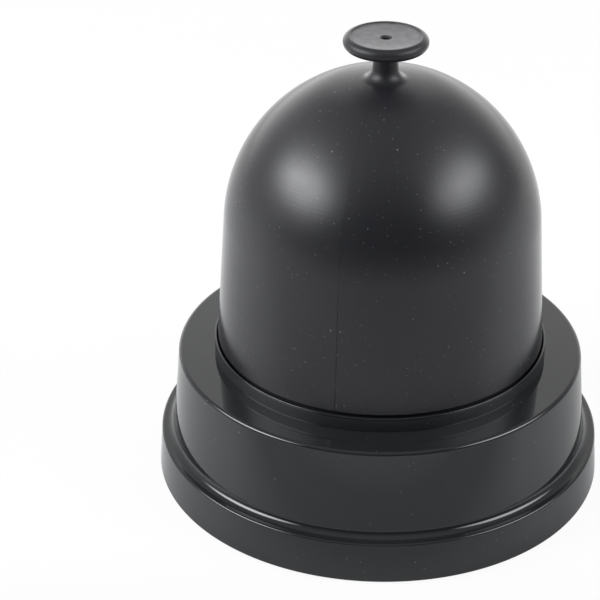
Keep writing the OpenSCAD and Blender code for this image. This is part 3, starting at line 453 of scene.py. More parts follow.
class Nodes:
    """Short calls that build a node tree."""

    def __init__(self, tree):
        self.tree = tree

    def link(self, source, target):
        self.tree.links.new(source, target)

    def feed(self, target, value):
        """Links a socket to the target, or sets the target's own value."""
        if isinstance(value, bpy.types.NodeSocket):
            self.link(value, target)
        else:
            target.default_value = value

    def node(self, kind, inputs=None, **settings):
        """A new node with its settings and what goes into it."""
        made = self.tree.nodes.new(f"ShaderNode{kind}")
        for key, value in settings.items():
            setattr(made, key, value)
        for key, value in (inputs or {}).items():
            self.feed(made.inputs[key], value)
        return made

    def maths(self, operation, *values):
        """The result of a calculation with one to three values."""
        return self.node("Math", dict(enumerate(values)), operation=operation).outputs["Value"]

    def spread(self, value, low, high, start=0.3, end=0.7, kind="LINEAR"):
        """Maps a value from start..end to low..high, and no further."""
        limits = {"Value": value, "From Min": start, "From Max": end, "To Min": low, "To Max": high}
        return self.node("MapRange", limits, interpolation_type=kind).outputs["Result"]

    def ease(self, value, low, high, start, end):
        """Maps like spread, but sets in and ends softly."""
        return self.spread(value, low, high, start, end, "SMOOTHSTEP")

    def between(self, factor, a, b):
        """Mixes two numbers by a factor."""
        return self.node("Mix", {"Factor": factor, "A": a, "B": b}, data_type="FLOAT").outputs["Result"]

    def parts(self, vector):
        """The X, Y and Z of a vector."""
        split = self.node("SeparateXYZ", {"Vector": vector})
        return split.outputs["X"], split.outputs["Y"], split.outputs["Z"]


class Finish(Nodes):
    """A material with short calls for the textures it is made of; textures are sized in metres."""

    def __init__(self, name, base, roughness, metallic=0.0):
        self.material = bpy.data.materials.new(name)
        self.material.use_nodes = True
        super().__init__(self.material.node_tree)
        self.shader = self.tree.nodes["Principled BSDF"]
        self.colour = (*base[:3], 1)
        self.roughness = roughness
        self.preset({"Metallic": metallic, "IOR": 1.5, "Base Color": self.colour, "Roughness": roughness})
        self.place = self.node("TexCoord").outputs["Object"]
        self.normal = None

    def preset(self, values):
        """Sets the shader's own inputs."""
        for key, value in values.items():
            self.feed(self.shader.inputs[key], value)
        return self

    def stretched(self, scale, lean=(0, 0, 0)):
        """Coordinates turned by a lean and stretched by a factor for each axis."""
        inputs = {"Vector": self.place, "Rotation": lean, "Scale": scale}
        return self.node("Mapping", inputs).outputs["Vector"]

    def noise(self, size, detail=3.0, rough=0.5, place=None):
        """Cloudy noise from 0 to 1 with clouds of the given size."""
        inputs = {"Scale": 1 / size, "Detail": detail, "Roughness": rough, "Vector": place or self.place}
        return self.node("TexNoise", inputs).outputs["Fac"]

    def specks(self, spacing, size, amount, place=None):
        """Mask of specks of the given size, on the given share of scattered points."""
        points = self.node("TexVoronoi", {"Scale": 1 / spacing, "Vector": place or self.place})
        chance = self.node("SeparateColor", {"Color": points.outputs["Color"]}).outputs["Red"]
        near = self.spread(points.outputs["Distance"], 1, 0, size * 0.25 / spacing, size * 0.6 / spacing)
        return self.maths("MULTIPLY", near, self.maths("LESS_THAN", chance, amount))

    def dust(self, amount, colour):
        """Scattered and clustered specks of dust with a few fibres of lint."""
        cluster = self.spread(self.noise(0.016, 2.0), 0.4, 1, 0.42, 0.62)
        wobble = self.node("TexNoise", {"Scale": 4000, "Vector": self.place}).outputs["Color"]
        reach = 0.00045
        moved = {0: wobble, 1: (reach, reach, reach), 2: self.place}
        ragged = self.node("VectorMath", moved, operation="MULTIPLY_ADD").outputs["Vector"]
        fine = self.specks(0.0013, 0.00027, amount, ragged)
        coarse = self.specks(0.0036, 0.00048, amount, ragged)
        lint = self.specks(0.0045, 0.0003, amount * 0.6, self.stretched((1, 1, 0.12), (0.7, 0.4, 0.2)))
        every = self.maths("MAXIMUM", fine, self.maths("MAXIMUM", coarse, lint))
        mask = self.maths("MULTIPLY", every, cluster)
        self.tint(mask, colour)
        self.roughen_by(mask, 0.8)

    def scratches(self, size, lean, amount):
        """Mask of short hair scratches that run one way."""
        fine = self.noise(size, 1.0, 0.4, self.stretched((1, 1, 14), lean))
        patch = self.spread(self.noise(size * 9, 2.0), 0, 1, 0.52, 0.66)
        return self.maths("MULTIPLY", self.spread(fine, 0, 1, 1 - amount, 1.02 - amount), patch)

    def tint(self, factor, other):
        """Mixes the colour so far with another one by a factor."""
        inputs = {"Factor": factor, "A": self.colour, "B": (*other[:3], 1)}
        self.colour = self.node("Mix", inputs, data_type="RGBA").outputs["Result"]
        self.preset({"Base Color": self.colour})

    def tint_between(self, factor, low, high):
        """Varies the colour between two shades of it."""
        base = self.colour
        self.colour = tuple(min(1, c * low) for c in base[:3]) + (1,)
        self.tint(factor, tuple(min(1, c * high) for c in base[:3]))

    def roughen(self, factor, low, high):
        """Varies the roughness with a factor from 0 to 1."""
        self.roughness = self.maths("MULTIPLY_ADD", factor, high - low, low)
        self.preset({"Roughness": self.roughness})

    def roughen_by(self, factor, other):
        """Mixes the roughness so far with another one by a mask."""
        self.roughness = self.between(factor, self.roughness, other)
        self.preset({"Roughness": self.roughness})

    def relief(self, height, depth):
        """Adds a relief of the given depth to the surface."""
        inputs = {"Distance": depth, "Height": height}
        if self.normal is not None:
            inputs["Normal"] = self.normal
        self.normal = self.node("Bump", inputs).outputs["Normal"]
        self.preset({"Normal": self.normal})


def moulded(
    name, base, roughness, grain=0.00025, grain_depth=0.000004, dust=0.0, dust_and_sheen_colour=None, wave=0.0
):
    """Injection-moulded plastic: grain, cloudy sheen, faint flow marks, hair scratches and dust."""
    made = Finish(name, base, roughness)
    made.tint_between(made.noise(0.02, 4.0), 0.86, 1.14)
    made.roughen(made.noise(0.012, 5.0, 0.6), roughness * 0.86, roughness * 1.16)
    made.roughen_by(made.scratches(0.0011, (0.5, 0.9, 0.3), 0.30), min(1, roughness * 1.7))
    if wave:
        made.relief(made.noise(0.009, 1.0), wave)
    made.relief(made.noise(grain, 2.0), grain_depth)
    if dust:
        made.dust(dust, dust_and_sheen_colour)
    return made


def dome_finish(finish, dome):
    """Satin plastic of the dome: painted shade along its parting line, painted sheen in patches in the
    knob's dish, and dust.
    """
    made = moulded("satin_dome", finish.dome_colour, finish.dome_roughness, 0.0003, 0.000006)
    x, y, z = made.parts(made.place)
    # the handled knob, and the shine at a glancing angle
    made.roughen_by(made.spread(z, 0, 1, 0.110, 0.123), finish.knob_roughness)
    facing = made.node("LayerWeight").outputs["Facing"]
    made.roughen_by(made.spread(facing, 0, 0.9, 0.38, 0.85), finish.glancing_roughness)
    # painted sheen: the knob's dish lightened in patches, in the dust's colour
    out = made.maths("ADD", made.maths("MULTIPLY", x, x), made.maths("MULTIPLY", y, y))
    inside = made.spread(out, 1, 0, 0.0088**2, 0.0104**2)
    dish_sheen = made.maths("MULTIPLY", inside, made.spread(z, 0, 1, 0.1385, 0.1388))
    patchy = made.spread(made.noise(0.0024, 3.0), 0.5 * finish.dish_sheen, finish.dish_sheen, 0.3, 0.7)
    made.tint(made.maths("MULTIPLY", dish_sheen, patchy), finish.dust_and_sheen_colour)
    # the parting line, broken and fainter further up: painted shade, a darker line with less reflection
    # along its groove
    out_x = made.maths("MULTIPLY", x, math.sin(dome.seam_angle))
    out_y = made.maths("MULTIPLY", y, math.cos(dome.seam_angle))
    off = made.maths("ABSOLUTE", made.maths("SUBTRACT", out_x, out_y))
    broken = made.spread(made.noise(0.0035, 2.0), 0.12, 0.62, 0.42, 0.6)
    faint = made.maths("MULTIPLY", broken, made.spread(z, 1, 0.3, 0.078, 0.1))
    seam = made.maths("MULTIPLY", made.spread(off, 1, 0, 0.00006, 0.0002), faint)
    made.tint(seam, (0.001, 0.001, 0.001))
    made.preset({"Specular IOR Level": made.spread(seam, 0.5, 0.1, 0, 1)})
    made.dust(0.45, tuple(0.7 * c for c in finish.dust_and_sheen_colour))
    return made


def housing_finish(finish, housing):
    """Gloss plastic of the housing, duller on the collar's wall."""
    base, roughness = finish.housing_colour, finish.housing_roughness
    made = moulded("gloss_housing", base, roughness, 0.0006, 0.0000015, wave=0.00001)
    z = made.parts(made.place)[2]
    low = made.spread(z, 0, 1, housing.top_height + 0.0001, housing.top_height + 0.0003)
    high = made.spread(z, 1, 0, housing.collar_height - 0.0008, housing.collar_height - 0.0005)
    made.roughen_by(made.maths("MULTIPLY", low, high), finish.collar_roughness)
    made.dust(0.06, finish.dust_and_sheen_colour)
    return made


def metal(name, base, roughness, way=(1, 1, 1), stain=0.2):
    """Bare metal with fine working marks stretched along one way and a faint stain."""
    made = Finish(name, base, roughness, 1.0)
    marks = made.noise(0.0006, 3.0, 0.6, made.stretched(way))
    made.roughen(marks, roughness * 0.7, roughness * 1.35)
    made.tint_between(made.noise(0.0035, 4.0, 0.6), 1 - stain, 1.0)
    made.relief(marks, 0.000008)
    made.roughen_by(made.specks(0.0013, 0.00022, 0.3), min(1, roughness * 1.8))
    return made


def cell_sleeve(base):
    """Shrink sleeve of a battery cell, with its bare steel ends and a plain band near the cap."""
    made = Finish("cell_sleeve_finish", base, 0.3)
    made.tint_between(made.noise(0.006, 3.0), 0.9, 1.1)
    made.relief(made.noise(0.0011, 2.0), 0.00001)
    made.roughen(made.noise(0.004, 4.0), 0.22, 0.36)
    facing = made.parts(made.tree.nodes["Texture Coordinate"].outputs["Normal"])[1]
    end = made.spread(made.maths("ABSOLUTE", facing), 0, 1, 0.60, 0.64)
    out = made.maths("ABSOLUTE", made.parts(made.place)[1])
    cap = made.maths("MAXIMUM", end, made.spread(out, 0, 1, 0.02535, 0.02540))
    band_from, band_to = made.spread(out, 0, 1, 0.0186, 0.0187), made.spread(out, 1, 0, 0.0206, 0.0207)
    band = made.maths("MULTIPLY", band_from, band_to)
    made.tint(band, (0.62, 0.60, 0.52))
    made.tint(cap, (0.55, 0.54, 0.51))
    made.preset({"Metallic": cap})
    return made


def rubber(name, base):
    """Matt rubber with a fine, slightly mottled skin that picks up dust."""
    made = Finish(name, base, 0.72)
    made.tint_between(made.noise(0.003, 4.0), 0.75, 1.3)
    made.roughen(made.noise(0.0012, 4.0), 0.62, 0.85)
    made.relief(made.noise(0.00035, 3.0), 0.00002)
    made.tint(made.specks(0.0012, 0.0002, 0.35), (0.16, 0.15, 0.14))
    return made


def winding(base):
    """Enamelled copper wire wound along the armature."""
    made = Finish("winding_finish", base, 0.3, 1.0)
    inputs = {"Scale": 900, "Distortion": 0.7, "Vector": made.stretched((1, 1, 0.12))}
    turns = made.node("TexWave", inputs, wave_type="BANDS", bands_direction="DIAGONAL").outputs["Fac"]
    made.tint_between(turns, 0.5, 1.1)
    made.relief(turns, 0.00008)
    made.roughen(made.noise(0.0006, 3.0), 0.24, 0.42)
    return made


def insulation(name, base):
    """Soft PVC insulation with a faint drawn texture."""
    made = Finish(name, base, 0.42)
    made.tint_between(made.noise(0.005, 3.0), 0.85, 1.12)
    made.roughen(made.noise(0.0014, 3.0), 0.34, 0.52)
    made.relief(made.noise(0.0004, 2.0), 0.000012)
    return made


def make_finishes(finish, dome, housing):
    """One material for each finish slot."""
    dust = finish.dust_and_sheen_colour
    made = {
        "dome_plastic": dome_finish(finish, dome),
        "housing_plastic": housing_finish(finish, housing),
        # the ring's grey is lighter than its black plastic: painted light that lifts the shaded gap under
        # the dome
        "ring_plastic": moulded("satin_ring", (0.020, 0.020, 0.021), 0.38, dust=0.05, dust_and_sheen_colour=dust),
        "cover_plastic": moulded("textured_cover", finish.cover_colour, 0.5, 0.0005, 0.00003, 0.1, dust),
        "table_plastic": moulded(
            "matt_turntable", (0.0046, 0.0046, 0.0049), 0.46, 0.0004, 0.00001, 0.08, dust
        ),
        "deck_plastic": moulded("plain_deck", (0.0098, 0.0098, 0.0104), 0.44, 0.0004, 0.00001, 0.05, dust),
        "gear_plastic": moulded("acetal_gear", finish.gear_colour, 0.36).preset(
            {"Subsurface Weight": 0.12, "Subsurface Scale": 0.002}
        ),
        "washer_plastic": moulded("nylon_washer", (0.68, 0.66, 0.57), 0.4),
        "cap_plastic": moulded("nylon_cap", (0.80, 0.78, 0.72), 0.42),
        "switch_plastic": moulded("switch_case", (0.012, 0.012, 0.013), 0.4, dust=0.03, dust_and_sheen_colour=dust),
        "plunger_plastic": moulded("switch_plunger", (0.55, 0.035, 0.025), 0.35),
        "foot_rubber": rubber("foot_rubber", (0.018, 0.018, 0.018)),
        "screw_steel": metal("zinc_screw", (0.62, 0.63, 0.65), 0.3, (1, 1, 0.3)),
        "spring_steel": metal("spring_wire", (0.66, 0.66, 0.67), 0.24, stain=0.12),
        "spindle_steel": metal("ground_steel", (0.60, 0.61, 0.63), 0.18, (0.3, 0.3, 3)),
        "clip_steel": metal("dark_clip", (0.20, 0.21, 0.22), 0.4),
        "can_steel": metal("motor_can", (0.56, 0.57, 0.58), 0.33, (1, 1, 0.12)),
        "magnet_ferrite": moulded("ferrite", (0.055, 0.055, 0.058), 0.62, 0.0006, 0.00002),
        "core_steel": metal("laminated_core", (0.38, 0.38, 0.39), 0.42, (0.05, 0.05, 6)),
        "winding_copper": winding((0.62, 0.24, 0.085)),
        "bush_bronze": metal("sintered_bronze", (0.55, 0.36, 0.15), 0.45),
        "pinion_brass": metal("cut_brass", (0.72, 0.52, 0.20), 0.28, (1, 1, 0.2)),
        "contact_brass": metal("brass_tab", (0.70, 0.50, 0.22), 0.34),
        "contact_steel": metal("plated_contact", (0.70, 0.70, 0.69), 0.3, stain=0.15),
        "cell_sleeve": cell_sleeve(finish.sleeve_colour),
        "red_insulation": insulation("red_insulation", (0.52, 0.022, 0.014)),
        "black_insulation": insulation("black_insulation", (0.014, 0.014, 0.015)),
    }
    return {slot: one.material for slot, one in made.items()}


materials = {}


def place(piece, body, slot, *nodes):
    """Puts a new piece on its body in the stead of plainer ones, with the material of a finish slot."""
    piece.data.materials.append(materials[slot])
    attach(piece, body)
    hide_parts(*nodes)


def quarter(k, start, out, up=0.0):
    """The place of the k-th of four pieces round the axis, the first one at a start angle in degrees."""
    return Matrix.Rotation(math.radians(start + 90 * k), 4, "Z") @ Matrix.Translation((out, 0, up))


# Operators


class DICESHAKER_OT_finishes(bpy.types.Operator):
    """Makes the materials of all the finish slots"""

    bl_idname = "diceshaker.finishes"
    bl_label = "Make finishes"

    def execute(self, context):
        scene = context.scene
        materials.update(
            make_finishes(scene.dice_shaker_finish, scene.dice_shaker_dome, scene.dice_shaker_housing)
        )
        wanted = {m["slot"] for m in frame["record"]["materials"]}
        missing = wanted - set(materials)
        if missing:
            raise RuntimeError(f"no finish for the slots {sorted(missing)}")
        return {"FINISHED"}


class DICESHAKER_OT_dome(bpy.types.Operator):
    """Builds the dome and its knob with the mould's parting line"""

    bl_idname = "diceshaker.dome"
    bl_label = "Build dome"

    def execute(self, context):
        dome = context.scene.dice_shaker_dome
        # up to these heights the line is strong or weak, and its gate mark shows
        strong, weak = dome.rim_height + 0.005, dome.rim_height + 0.028
        gate_top, gate_fade = dome.rim_height + 0.0075, 0.003
        # facets across the line and the gate mark beside it, in half widths of the line
        across = (-9, -8, -7, -1.6, -1, -0.45, 0, 0.45, 1, 1.6)
        half = dome.seam_width / 2 / dome.rim_radius
        clear = half * 14
        seams = [dome.seam_angle, dome.seam_angle + math.pi]
        angles = [seam + half * k for seam in seams for k in across]
        for a in even_angles(SKIN_SIDES):
            if all(abs(math.remainder(a - seam, 2 * math.pi)) > clear for seam in seams):
                angles.append(a)
        angles = sorted(a % (2 * math.pi) for a in angles)
        skin, slope, neck_zone = dome.rim_radius - dome.wall * 0.6, 0.07, 0.02

        def shift(a, r, z):
            """How far the skin stands out at a point, for the line and its gate mark."""
            over_rim = z - dome.rim_height
            if r < neck_zone or r < skin - over_rim * slope and z < dome.rim_height + dome.wall_height:
                return 0
            out = 0
            depth = dome.seam_depth * (0.12 + 0.4 * (z < weak) + 0.9 * (z < strong))
            depth *= 0.55 + 0.45 * math.sin(z * 1900) * math.sin(z * 730 + 1)
            for seam in seams:
                k = math.remainder(a - seam, 2 * math.pi) / half
                if abs(k) < 0.2:
                    out -= depth
                elif -0.9 < k < 0:
                    out += depth * 0.5
                elif z < gate_top and -8.5 < k < -0.9:
                    out += dome.seam_depth * 0.7 * min(1, (gate_top - z) / gate_fade)
            return out

        form = bmesh.new()
        add_lathe(form, dome_outline(dome), angles, shift=shift)
        place(finish_mesh("dome_shell", form, 40), "dome", "dome_plastic", "dome")
        return {"FINISHED"}


class DICESHAKER_OT_housing(bpy.types.Operator):
    """Builds the two-step housing with its collar and screw posts"""

    bl_idname = "diceshaker.housing"
    bl_label = "Build housing"

    def execute(self, context):
        housing = context.scene.dice_shaker_housing
        form = bmesh.new()
        add_lathe(form, housing_outline(housing), even_angles(HOUSING_SIDES))
        under = housing.top_height - housing.wall
        inner = housing.foot_radius - housing.foot_lean - housing.ledge - housing.tier_lean - housing.wall
        bite, stand_off = 0.00035, 0.0008  # the housing's posts bite into the wall, the deck's stand off it
        screws = inner - housing.post_radius + bite
        deck = inner - housing.deck_post_radius - stand_off
        # thickness of the cover and rise of its screw pockets, then the posts' screw holes
        cover, pocket = 0.0024, 0.0048
        hole, hole_depth = 0.0015, 0.010
        deck_hole, deck_hole_roof = 0.00115, 0.0004
        deck_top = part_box("gear_deck")[1].z
        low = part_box("bottom_cover")[0].z + cover + pocket
        high = under + OVERLAP
        post = post_outline(housing.post_radius, hole, low, high, low + hole_depth)
        roof = under - deck_hole_roof
        deck_post = post_outline(housing.deck_post_radius, deck_hole, deck_top, high, roof)
        for k in range(4):
            add_lathe(form, post, even_angles(POST_SIDES), quarter(k, 45, screws))
            add_lathe(form, deck_post, even_angles(DECK_POST_SIDES), quarter(k, 0, deck))
        place(finish_mesh("housing_shell", form, 34), "base", "housing_plastic", "top_housing")
        return {"FINISHED"}


class DICESHAKER_OT_ring(bpy.types.Operator):
    """Builds the sprung ring that carries the dome"""

    bl_idname = "diceshaker.ring"
    bl_label = "Build press ring"

    def execute(self, context):
        scene = context.scene
        form = bmesh.new()
        outline = ring_outline(scene.dice_shaker_housing, scene.dice_shaker_dome)
        add_lathe(form, outline, even_angles(SKIN_SIDES))
        place(finish_mesh("press_ring_shell", form, 34), "press_ring", "ring_plastic", "press_ring")
        return {"FINISHED"}


class DICESHAKER_OT_return_springs(bpy.types.Operator):
    """Winds the four return springs"""

    bl_idname = "diceshaker.return_springs"
    bl_label = "Wind return springs"

    def execute(self, context):
        wound = context.scene.dice_shaker_wound
        height = SPRING_HIGH.z - SPRING_LOW.z
        radius = RING_HIGH.x - wound.spring_diameter / 2 - 0.0001
        path = coil_path(wound.spring_diameter, wound.spring_wire, wound.spring_turns, height)
        form = bmesh.new()
        for k in range(4):
            turn = quarter(k, 22.5, radius, SPRING_LOW.z)
            add_tube(form, [turn @ p for p in path], wound.spring_wire / 2, WIRE_SIDES, Vector((0, 0, 1)))
        piece = finish_mesh("return_spring_coils", form, 50)
        place(piece, "base", "spring_steel", "return_springs")
        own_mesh(piece)
        return {"FINISHED"}


class DICESHAKER_OT_contact_springs(bpy.types.Operator):
    """Winds the three battery contact springs"""

    bl_idname = "diceshaker.contact_springs"
    bl_label = "Wind contact springs"

    def execute(self, context):
        wound = context.scene.dice_shaker_wound
        low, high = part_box("contact_springs")
        height = 0.005
        form = bmesh.new()
        path = coil_path(wound.contact_diameter, wound.contact_wire, wound.contact_turns, height)
        for k in range(3):
            cell_low, cell_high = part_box(f"battery_cell_{k + 1}")
            centre = (cell_low + cell_high) / 2
            way = 1 if k % 2 == 0 else -1
            seat = low.y if way == 1 else high.y
            lying = Matrix.Rotation(math.radians(-90 * way), 4, "X")
            turn = Matrix.Translation((centre.x, seat, centre.z)) @ lying
            along = turn.to_3x3() @ Vector((0, 0, 1))
            add_tube(form, [turn @ p for p in path], wound.contact_wire / 2, WIRE_SIDES, along)
        place(finish_mesh("contact_spring_coils", form, 50), "base", "contact_steel", "contact_springs")
        return {"FINISHED"}


class DICESHAKER_OT_wires(bpy.types.Operator):
    """Lays the three wires between the contacts, the switch and the motor"""

    bl_idname = "diceshaker.wires"
    bl_label = "Lay wires"

    def execute(self, context):
        wound = context.scene.dice_shaker_wound
        for name, slot, route in WIRES:
            points = [Vector(p) / 1000 for p in route]
            form = bmesh.new()
            add_tube(form, smooth_path(points), wound.wire_diameter / 2, WIRE_SIDES, Vector((0.3, 1, 0)))
            place(finish_mesh(f"{name}_run", form, 50), "base", slot, name)
        return {"FINISHED"}


class Dressing:
    """Gives each piece of a group the material of its finish slot."""

    def execute(self, context):
        for slot, names in self.slots.items():
            for name in names:
                mesh = frame["nodes"][name].data
                mesh.materials.clear()
                mesh.materials.append(materials[slot])
        return {"FINISHED"}


class DICESHAKER_OT_turntable(Dressing, bpy.types.Operator):
    """Finishes the turntable and the gear train that turns it"""

    bl_idname = "diceshaker.turntable"
    bl_label = "Finish turntable and gears"
    slots = {
        "table_plastic": ["turntable"],
        "gear_plastic": ["drive_gear"],
        "spindle_steel": ["spindle"],
        "clip_steel": ["spindle_clip"],
        "bush_bronze": ["spindle_bush"],
        "washer_plastic": ["thrust_washer"],
        "deck_plastic": ["gear_deck"],
    }


class DICESHAKER_OT_motor(Dressing, bpy.types.Operator):
    """Finishes the pieces of the motor"""

    bl_idname = "diceshaker.motor"
    bl_label = "Finish motor"
    slots = {
        "can_steel": ["motor_can"],
        "magnet_ferrite": ["motor_magnets"],
        "cap_plastic": ["motor_end_cap"],
        "contact_brass": ["motor_terminals"],
        "spindle_steel": ["motor_shaft"],
        "core_steel": ["motor_armature"],
        "winding_copper": ["motor_windings"],
        "pinion_brass": ["motor_pinion"],
    }


class DICESHAKER_OT_switch(Dressing, bpy.types.Operator):
    """Finishes the switch under the press ring"""

    bl_idname = "diceshaker.switch"
    bl_label = "Finish switch"
    slots = {
        "switch_plastic": ["switch_body"],
        "plunger_plastic": ["switch_plunger"],
        "contact_brass": ["switch_terminals"],
    }


class DICESHAKER_OT_batteries(Dressing, bpy.types.Operator):
    """Finishes the battery cells and their contact plates"""

    bl_idname = "diceshaker.batteries"
    bl_label = "Finish batteries"
    slots = {
        "cell_sleeve": ["battery_cell_1", "battery_cell_2", "battery_cell_3"],
        "contact_steel": ["contact_plates"],
    }


class DICESHAKER_OT_underside(Dressing, bpy.types.Operator):
    """Finishes the bottom cover, the battery door and the rubber feet"""

    bl_idname = "diceshaker.underside"
    bl_label = "Finish underside"
    slots = {
        "cover_plastic": ["bottom_cover", "battery_door"],
        "foot_rubber": ["rubber_feet"],
    }


class DICESHAKER_OT_screws(Dressing, bpy.types.Operator):
    """Finishes the screws"""

    bl_idname = "diceshaker.screws"
    bl_label = "Finish screws"
    slots = {
        "screw_steel": ["housing_screws", "deck_screws", "turntable_screw"],
    }


class DICESHAKER_OT_stage(bpy.types.Operator):
    """Sets the floor, the lamps, the surroundings and the camera"""

    bl_idname = "diceshaker.stage"
    bl_label = "Set stage"

    def execute(self, context):
        studio = context.scene.dice_shaker_studio
        make_floor(studio)
        make_lamps(studio)
        make_surroundings(context.scene, studio)
        make_camera(context.scene, studio)
        context.scene.view_settings.view_transform = "Standard"
        return {"FINISHED"}


# Wires: name, finish slot and route in millimetres, from one solder point to the other
WIRES = [
    (
        "battery_wire",
        "red_insulation",
        [(40.95, 28, 21.9), (40.95, 28, 23.1), (36, 30, 24.5), (22, 32, 24.5), (6, 34, 24.5),
         (-10, 34, 24.5), (-24, 30.5, 24.5), (-35, 25, 24.5), (-41.72, 19.23, 25.0), (-41.72, 19.23, 26.4)],
    ),
    (
        "switch_wire",
        "red_insulation",
        [(-43.1, 15.9, 26.4), (-43.1, 15.9, 25.0), (-42, 14.5, 20), (-37, 15, 14.5), (-30, 14.5, 11),
         (-24, 11.35, 9.25), (-24, 11.35, 7.85)],
    ),
    (
        "return_wire",
        "black_insulation",
        [(-24, -11.35, 7.85), (-24, -11.35, 9.25), (-21, -15, 13), (-13, -20, 18.5), (-3, -25, 23),
         (5, -27.5, 24.3), (10.55, -28, 23.3), (10.55, -28, 21.9)],
    ),
]


def make_floor(studio):
    """A round pale floor whose white the camera sees almost evenly, with a faint shadow.

    The far part of it is as white in reflections. Its colour has painted shade, seen mostly in reflections:
    darker towards the front and deepest just in front of the object.
    """
    form = bmesh.new()
    thick = -0.002
    outline = [(0, 0), (0.5, 0), (1.2, 0), (2.4, 0), (2.4, thick), (0, thick)]
    add_lathe(form, outline, even_angles(96))
    floor = finish_mesh("studio_floor", form)
    made = Finish("studio_floor_paint", (0.86, 0.86, 0.86), 0.9)
    made.tint_between(made.noise(0.3, 2.0), 0.99, 1.01)
    y = made.parts(made.place)[1]
    # painted shade: the floor's colour darkens towards the front
    made.tint(made.ease(y, 1, 0, -0.34, -0.07), (0.40, 0.40, 0.40))
    # painted shade: a darker band on the floor just in front of the object
    near, far = made.spread(y, 1, 0, -0.085, -0.05), made.spread(y, 0, 1, -0.16, -0.115)
    made.tint(made.maths("MULTIPLY", near, far), (0.50, 0.50, 0.50))
    made.preset({"Specular IOR Level": 0.0})
    ray = made.node("LightPath")
    seen = made.maths("MULTIPLY", ray.outputs["Is Camera Ray"], studio.floor_glow)
    mirrored = made.maths("MULTIPLY", ray.outputs["Is Glossy Ray"], made.spread(y, 0, 0.9, 0.12, 0.4))
    glow = made.node("Emission", {"Strength": 1.0}).outputs["Emission"]
    inputs = {"Fac": made.maths("MAXIMUM", seen, mirrored), 1: made.shader.outputs["BSDF"], 2: glow}
    mix = made.node("MixShader", inputs)
    made.link(mix.outputs["Shader"], made.tree.nodes["Material Output"].inputs["Surface"])
    floor.data.materials.append(made.material)


def fade_lamp(light):
    """Makes a lamp fall off evenly from its middle to nothing at its edge."""
    light.use_nodes = True
    made = Nodes(light.node_tree)
    across, up, _ = made.parts(made.node("NewGeometry").outputs["Parametric"])
    squares = []
    for side in (across, up):
        off = made.maths("SUBTRACT", made.maths("MULTIPLY", side, 2.0), 1.0)
        squares.append(made.maths("MULTIPLY", off, off))
    strength = made.ease(made.maths("ADD", *squares), 1, 0, 0, 1)
    made.link(strength, light.node_tree.nodes["Emission"].inputs["Strength"])


def make_lamps(studio):
    """Two soft oval lamps, high on the left and on the right."""
    aim = Vector((0, 0, 0.085))  # the middle of the dome
    for name, way, power in (
        ("left_lamp", (-0.81, -0.24, 0.53), studio.left_lamp),
        ("right_lamp", (0.81, -0.21, 0.55), studio.right_lamp),
    ):
        light = bpy.data.lights.new(name, "AREA")
        light.shape = "ELLIPSE"
        light.size = studio.lamp_width
        light.size_y = studio.lamp_height
        light.energy = power
        light.color = (0.97, 0.98, 1.0)
        fade_lamp(light)
        lamp = bpy.data.objects.new(name, light)
        towards = Vector(way).normalized()
        lamp.location = aim + towards * studio.lamp_distance
        lamp.rotation_euler = towards.to_track_quat("Z", "Y").to_euler()
        bpy.context.scene.collection.objects.link(lamp)


def make_surroundings(scene, studio):
    """White surroundings that fall off above and to dark grey in front; the camera sees plain white."""
    world = bpy.data.worlds.new("studio")
    scene.world = world
    world.use_nodes = True
    made = Nodes(world.node_tree)
    x, y, z = made.parts(made.node("TexCoord").outputs["Generated"])
    horizon = made.ease(z, 1.4, 1, 0.12, 0.42)
    behind = made.spread(x, studio.behind * 1.12, studio.behind * 0.92, -0.35, 0.35)
    beside = made.spread(x, studio.left, studio.right, -0.9, 0.9)
    low = made.between(made.ease(y, 0, 1, 0.5, 0.95), beside, made.maths("MULTIPLY", horizon, behind))
    around = made.between(made.ease(z, 0, 1, 0.42, 0.85), low, studio.above)
    before = made.ease(made.maths("MULTIPLY", y, -1), 0, 1, -0.1, 0.65)
    under = made.ease(z, 1, 0, 0.42, 0.93)
    brightness = made.between(made.maths("MULTIPLY", before, under), around, studio.front)
    seen = made.between(made.node("LightPath").outputs["Is Camera Ray"], brightness, 1.0)
    background = world.node_tree.nodes["Background"]
    background.inputs["Color"].default_value = (1, 1, 1, 1)
    made.link(seen, background.inputs["Strength"])


def make_camera(scene, studio):
    """The camera at the photograph's viewing angle."""
    data = bpy.data.cameras.new("studio_camera")
    data.lens = studio.lens
    data.sensor_width = 36
    data.clip_start = 0.01
    camera = bpy.data.objects.new("studio_camera", data)
    camera.location = (0, -studio.camera_distance, studio.camera_height)
    camera.rotation_euler = (math.pi / 2 - studio.camera_tilt, 0, studio.camera_turn)
    scene.collection.objects.link(camera)
    scene.camera = camera


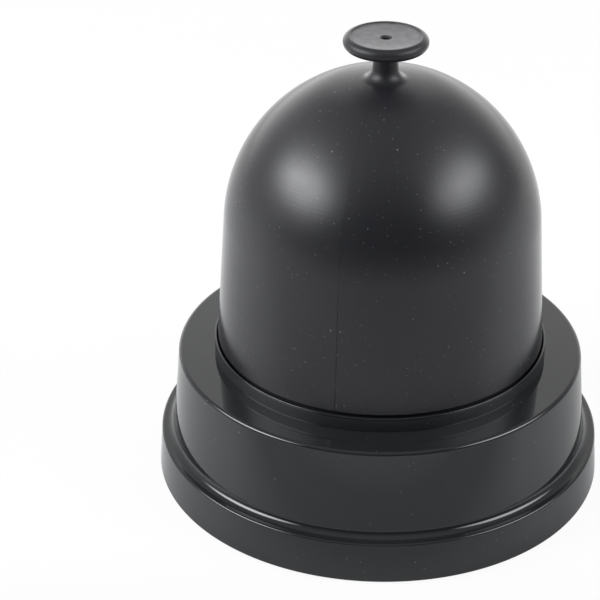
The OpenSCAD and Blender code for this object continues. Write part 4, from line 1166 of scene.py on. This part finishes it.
class DICESHAKER_PT_panel(bpy.types.Panel):
    """Lists the sizes, the colours and the steps"""

    bl_label = "Dice Shaker"
    bl_idname = "DICESHAKER_PT_panel"
    bl_space_type = "VIEW_3D"
    bl_region_type = "UI"
    bl_category = "Dice Shaker"

    def draw(self, context):
        for name, _ in GROUPS:
            group = getattr(context.scene, name)
            box = self.layout.box()
            box.label(text=group.__doc__ or name)
            for key in group.__annotations__:
                box.prop(group, key)
        column = self.layout.column(align=True)
        for step in STEPS:
            column.operator(step.bl_idname)


GROUPS = [
    ("dice_shaker_dome", DiceShakerDome),
    ("dice_shaker_housing", DiceShakerHousing),
    ("dice_shaker_wound", DiceShakerWound),
    ("dice_shaker_finish", DiceShakerFinish),
    ("dice_shaker_studio", DiceShakerStudio),
]
STEPS = [
    DICESHAKER_OT_finishes,
    DICESHAKER_OT_dome,
    DICESHAKER_OT_housing,
    DICESHAKER_OT_ring,
    DICESHAKER_OT_return_springs,
    DICESHAKER_OT_contact_springs,
    DICESHAKER_OT_wires,
    DICESHAKER_OT_turntable,
    DICESHAKER_OT_motor,
    DICESHAKER_OT_switch,
    DICESHAKER_OT_batteries,
    DICESHAKER_OT_underside,
    DICESHAKER_OT_screws,
    DICESHAKER_OT_stage,
]


def register():
    for name, group in GROUPS:
        bpy.utils.register_class(group)
        setattr(bpy.types.Scene, name, PointerProperty(type=group))
    for step in STEPS:
        bpy.utils.register_class(step)
    bpy.utils.register_class(DICESHAKER_PT_panel)


def unregister():
    bpy.utils.unregister_class(DICESHAKER_PT_panel)
    for step in reversed(STEPS):
        bpy.utils.unregister_class(step)
    for name, group in reversed(GROUPS):
        delattr(bpy.types.Scene, name)
        bpy.utils.unregister_class(group)


def main():
    register()
    bpy.ops.diceshaker.finishes()
    bpy.ops.diceshaker.dome()
    bpy.ops.diceshaker.housing()
    bpy.ops.diceshaker.ring()
    bpy.ops.diceshaker.return_springs()
    bpy.ops.diceshaker.contact_springs()
    bpy.ops.diceshaker.wires()
    bpy.ops.diceshaker.turntable()
    bpy.ops.diceshaker.motor()
    bpy.ops.diceshaker.switch()
    bpy.ops.diceshaker.batteries()
    bpy.ops.diceshaker.underside()
    bpy.ops.diceshaker.screws()
    bpy.ops.diceshaker.stage()


if __name__ == "__main__":
    main()
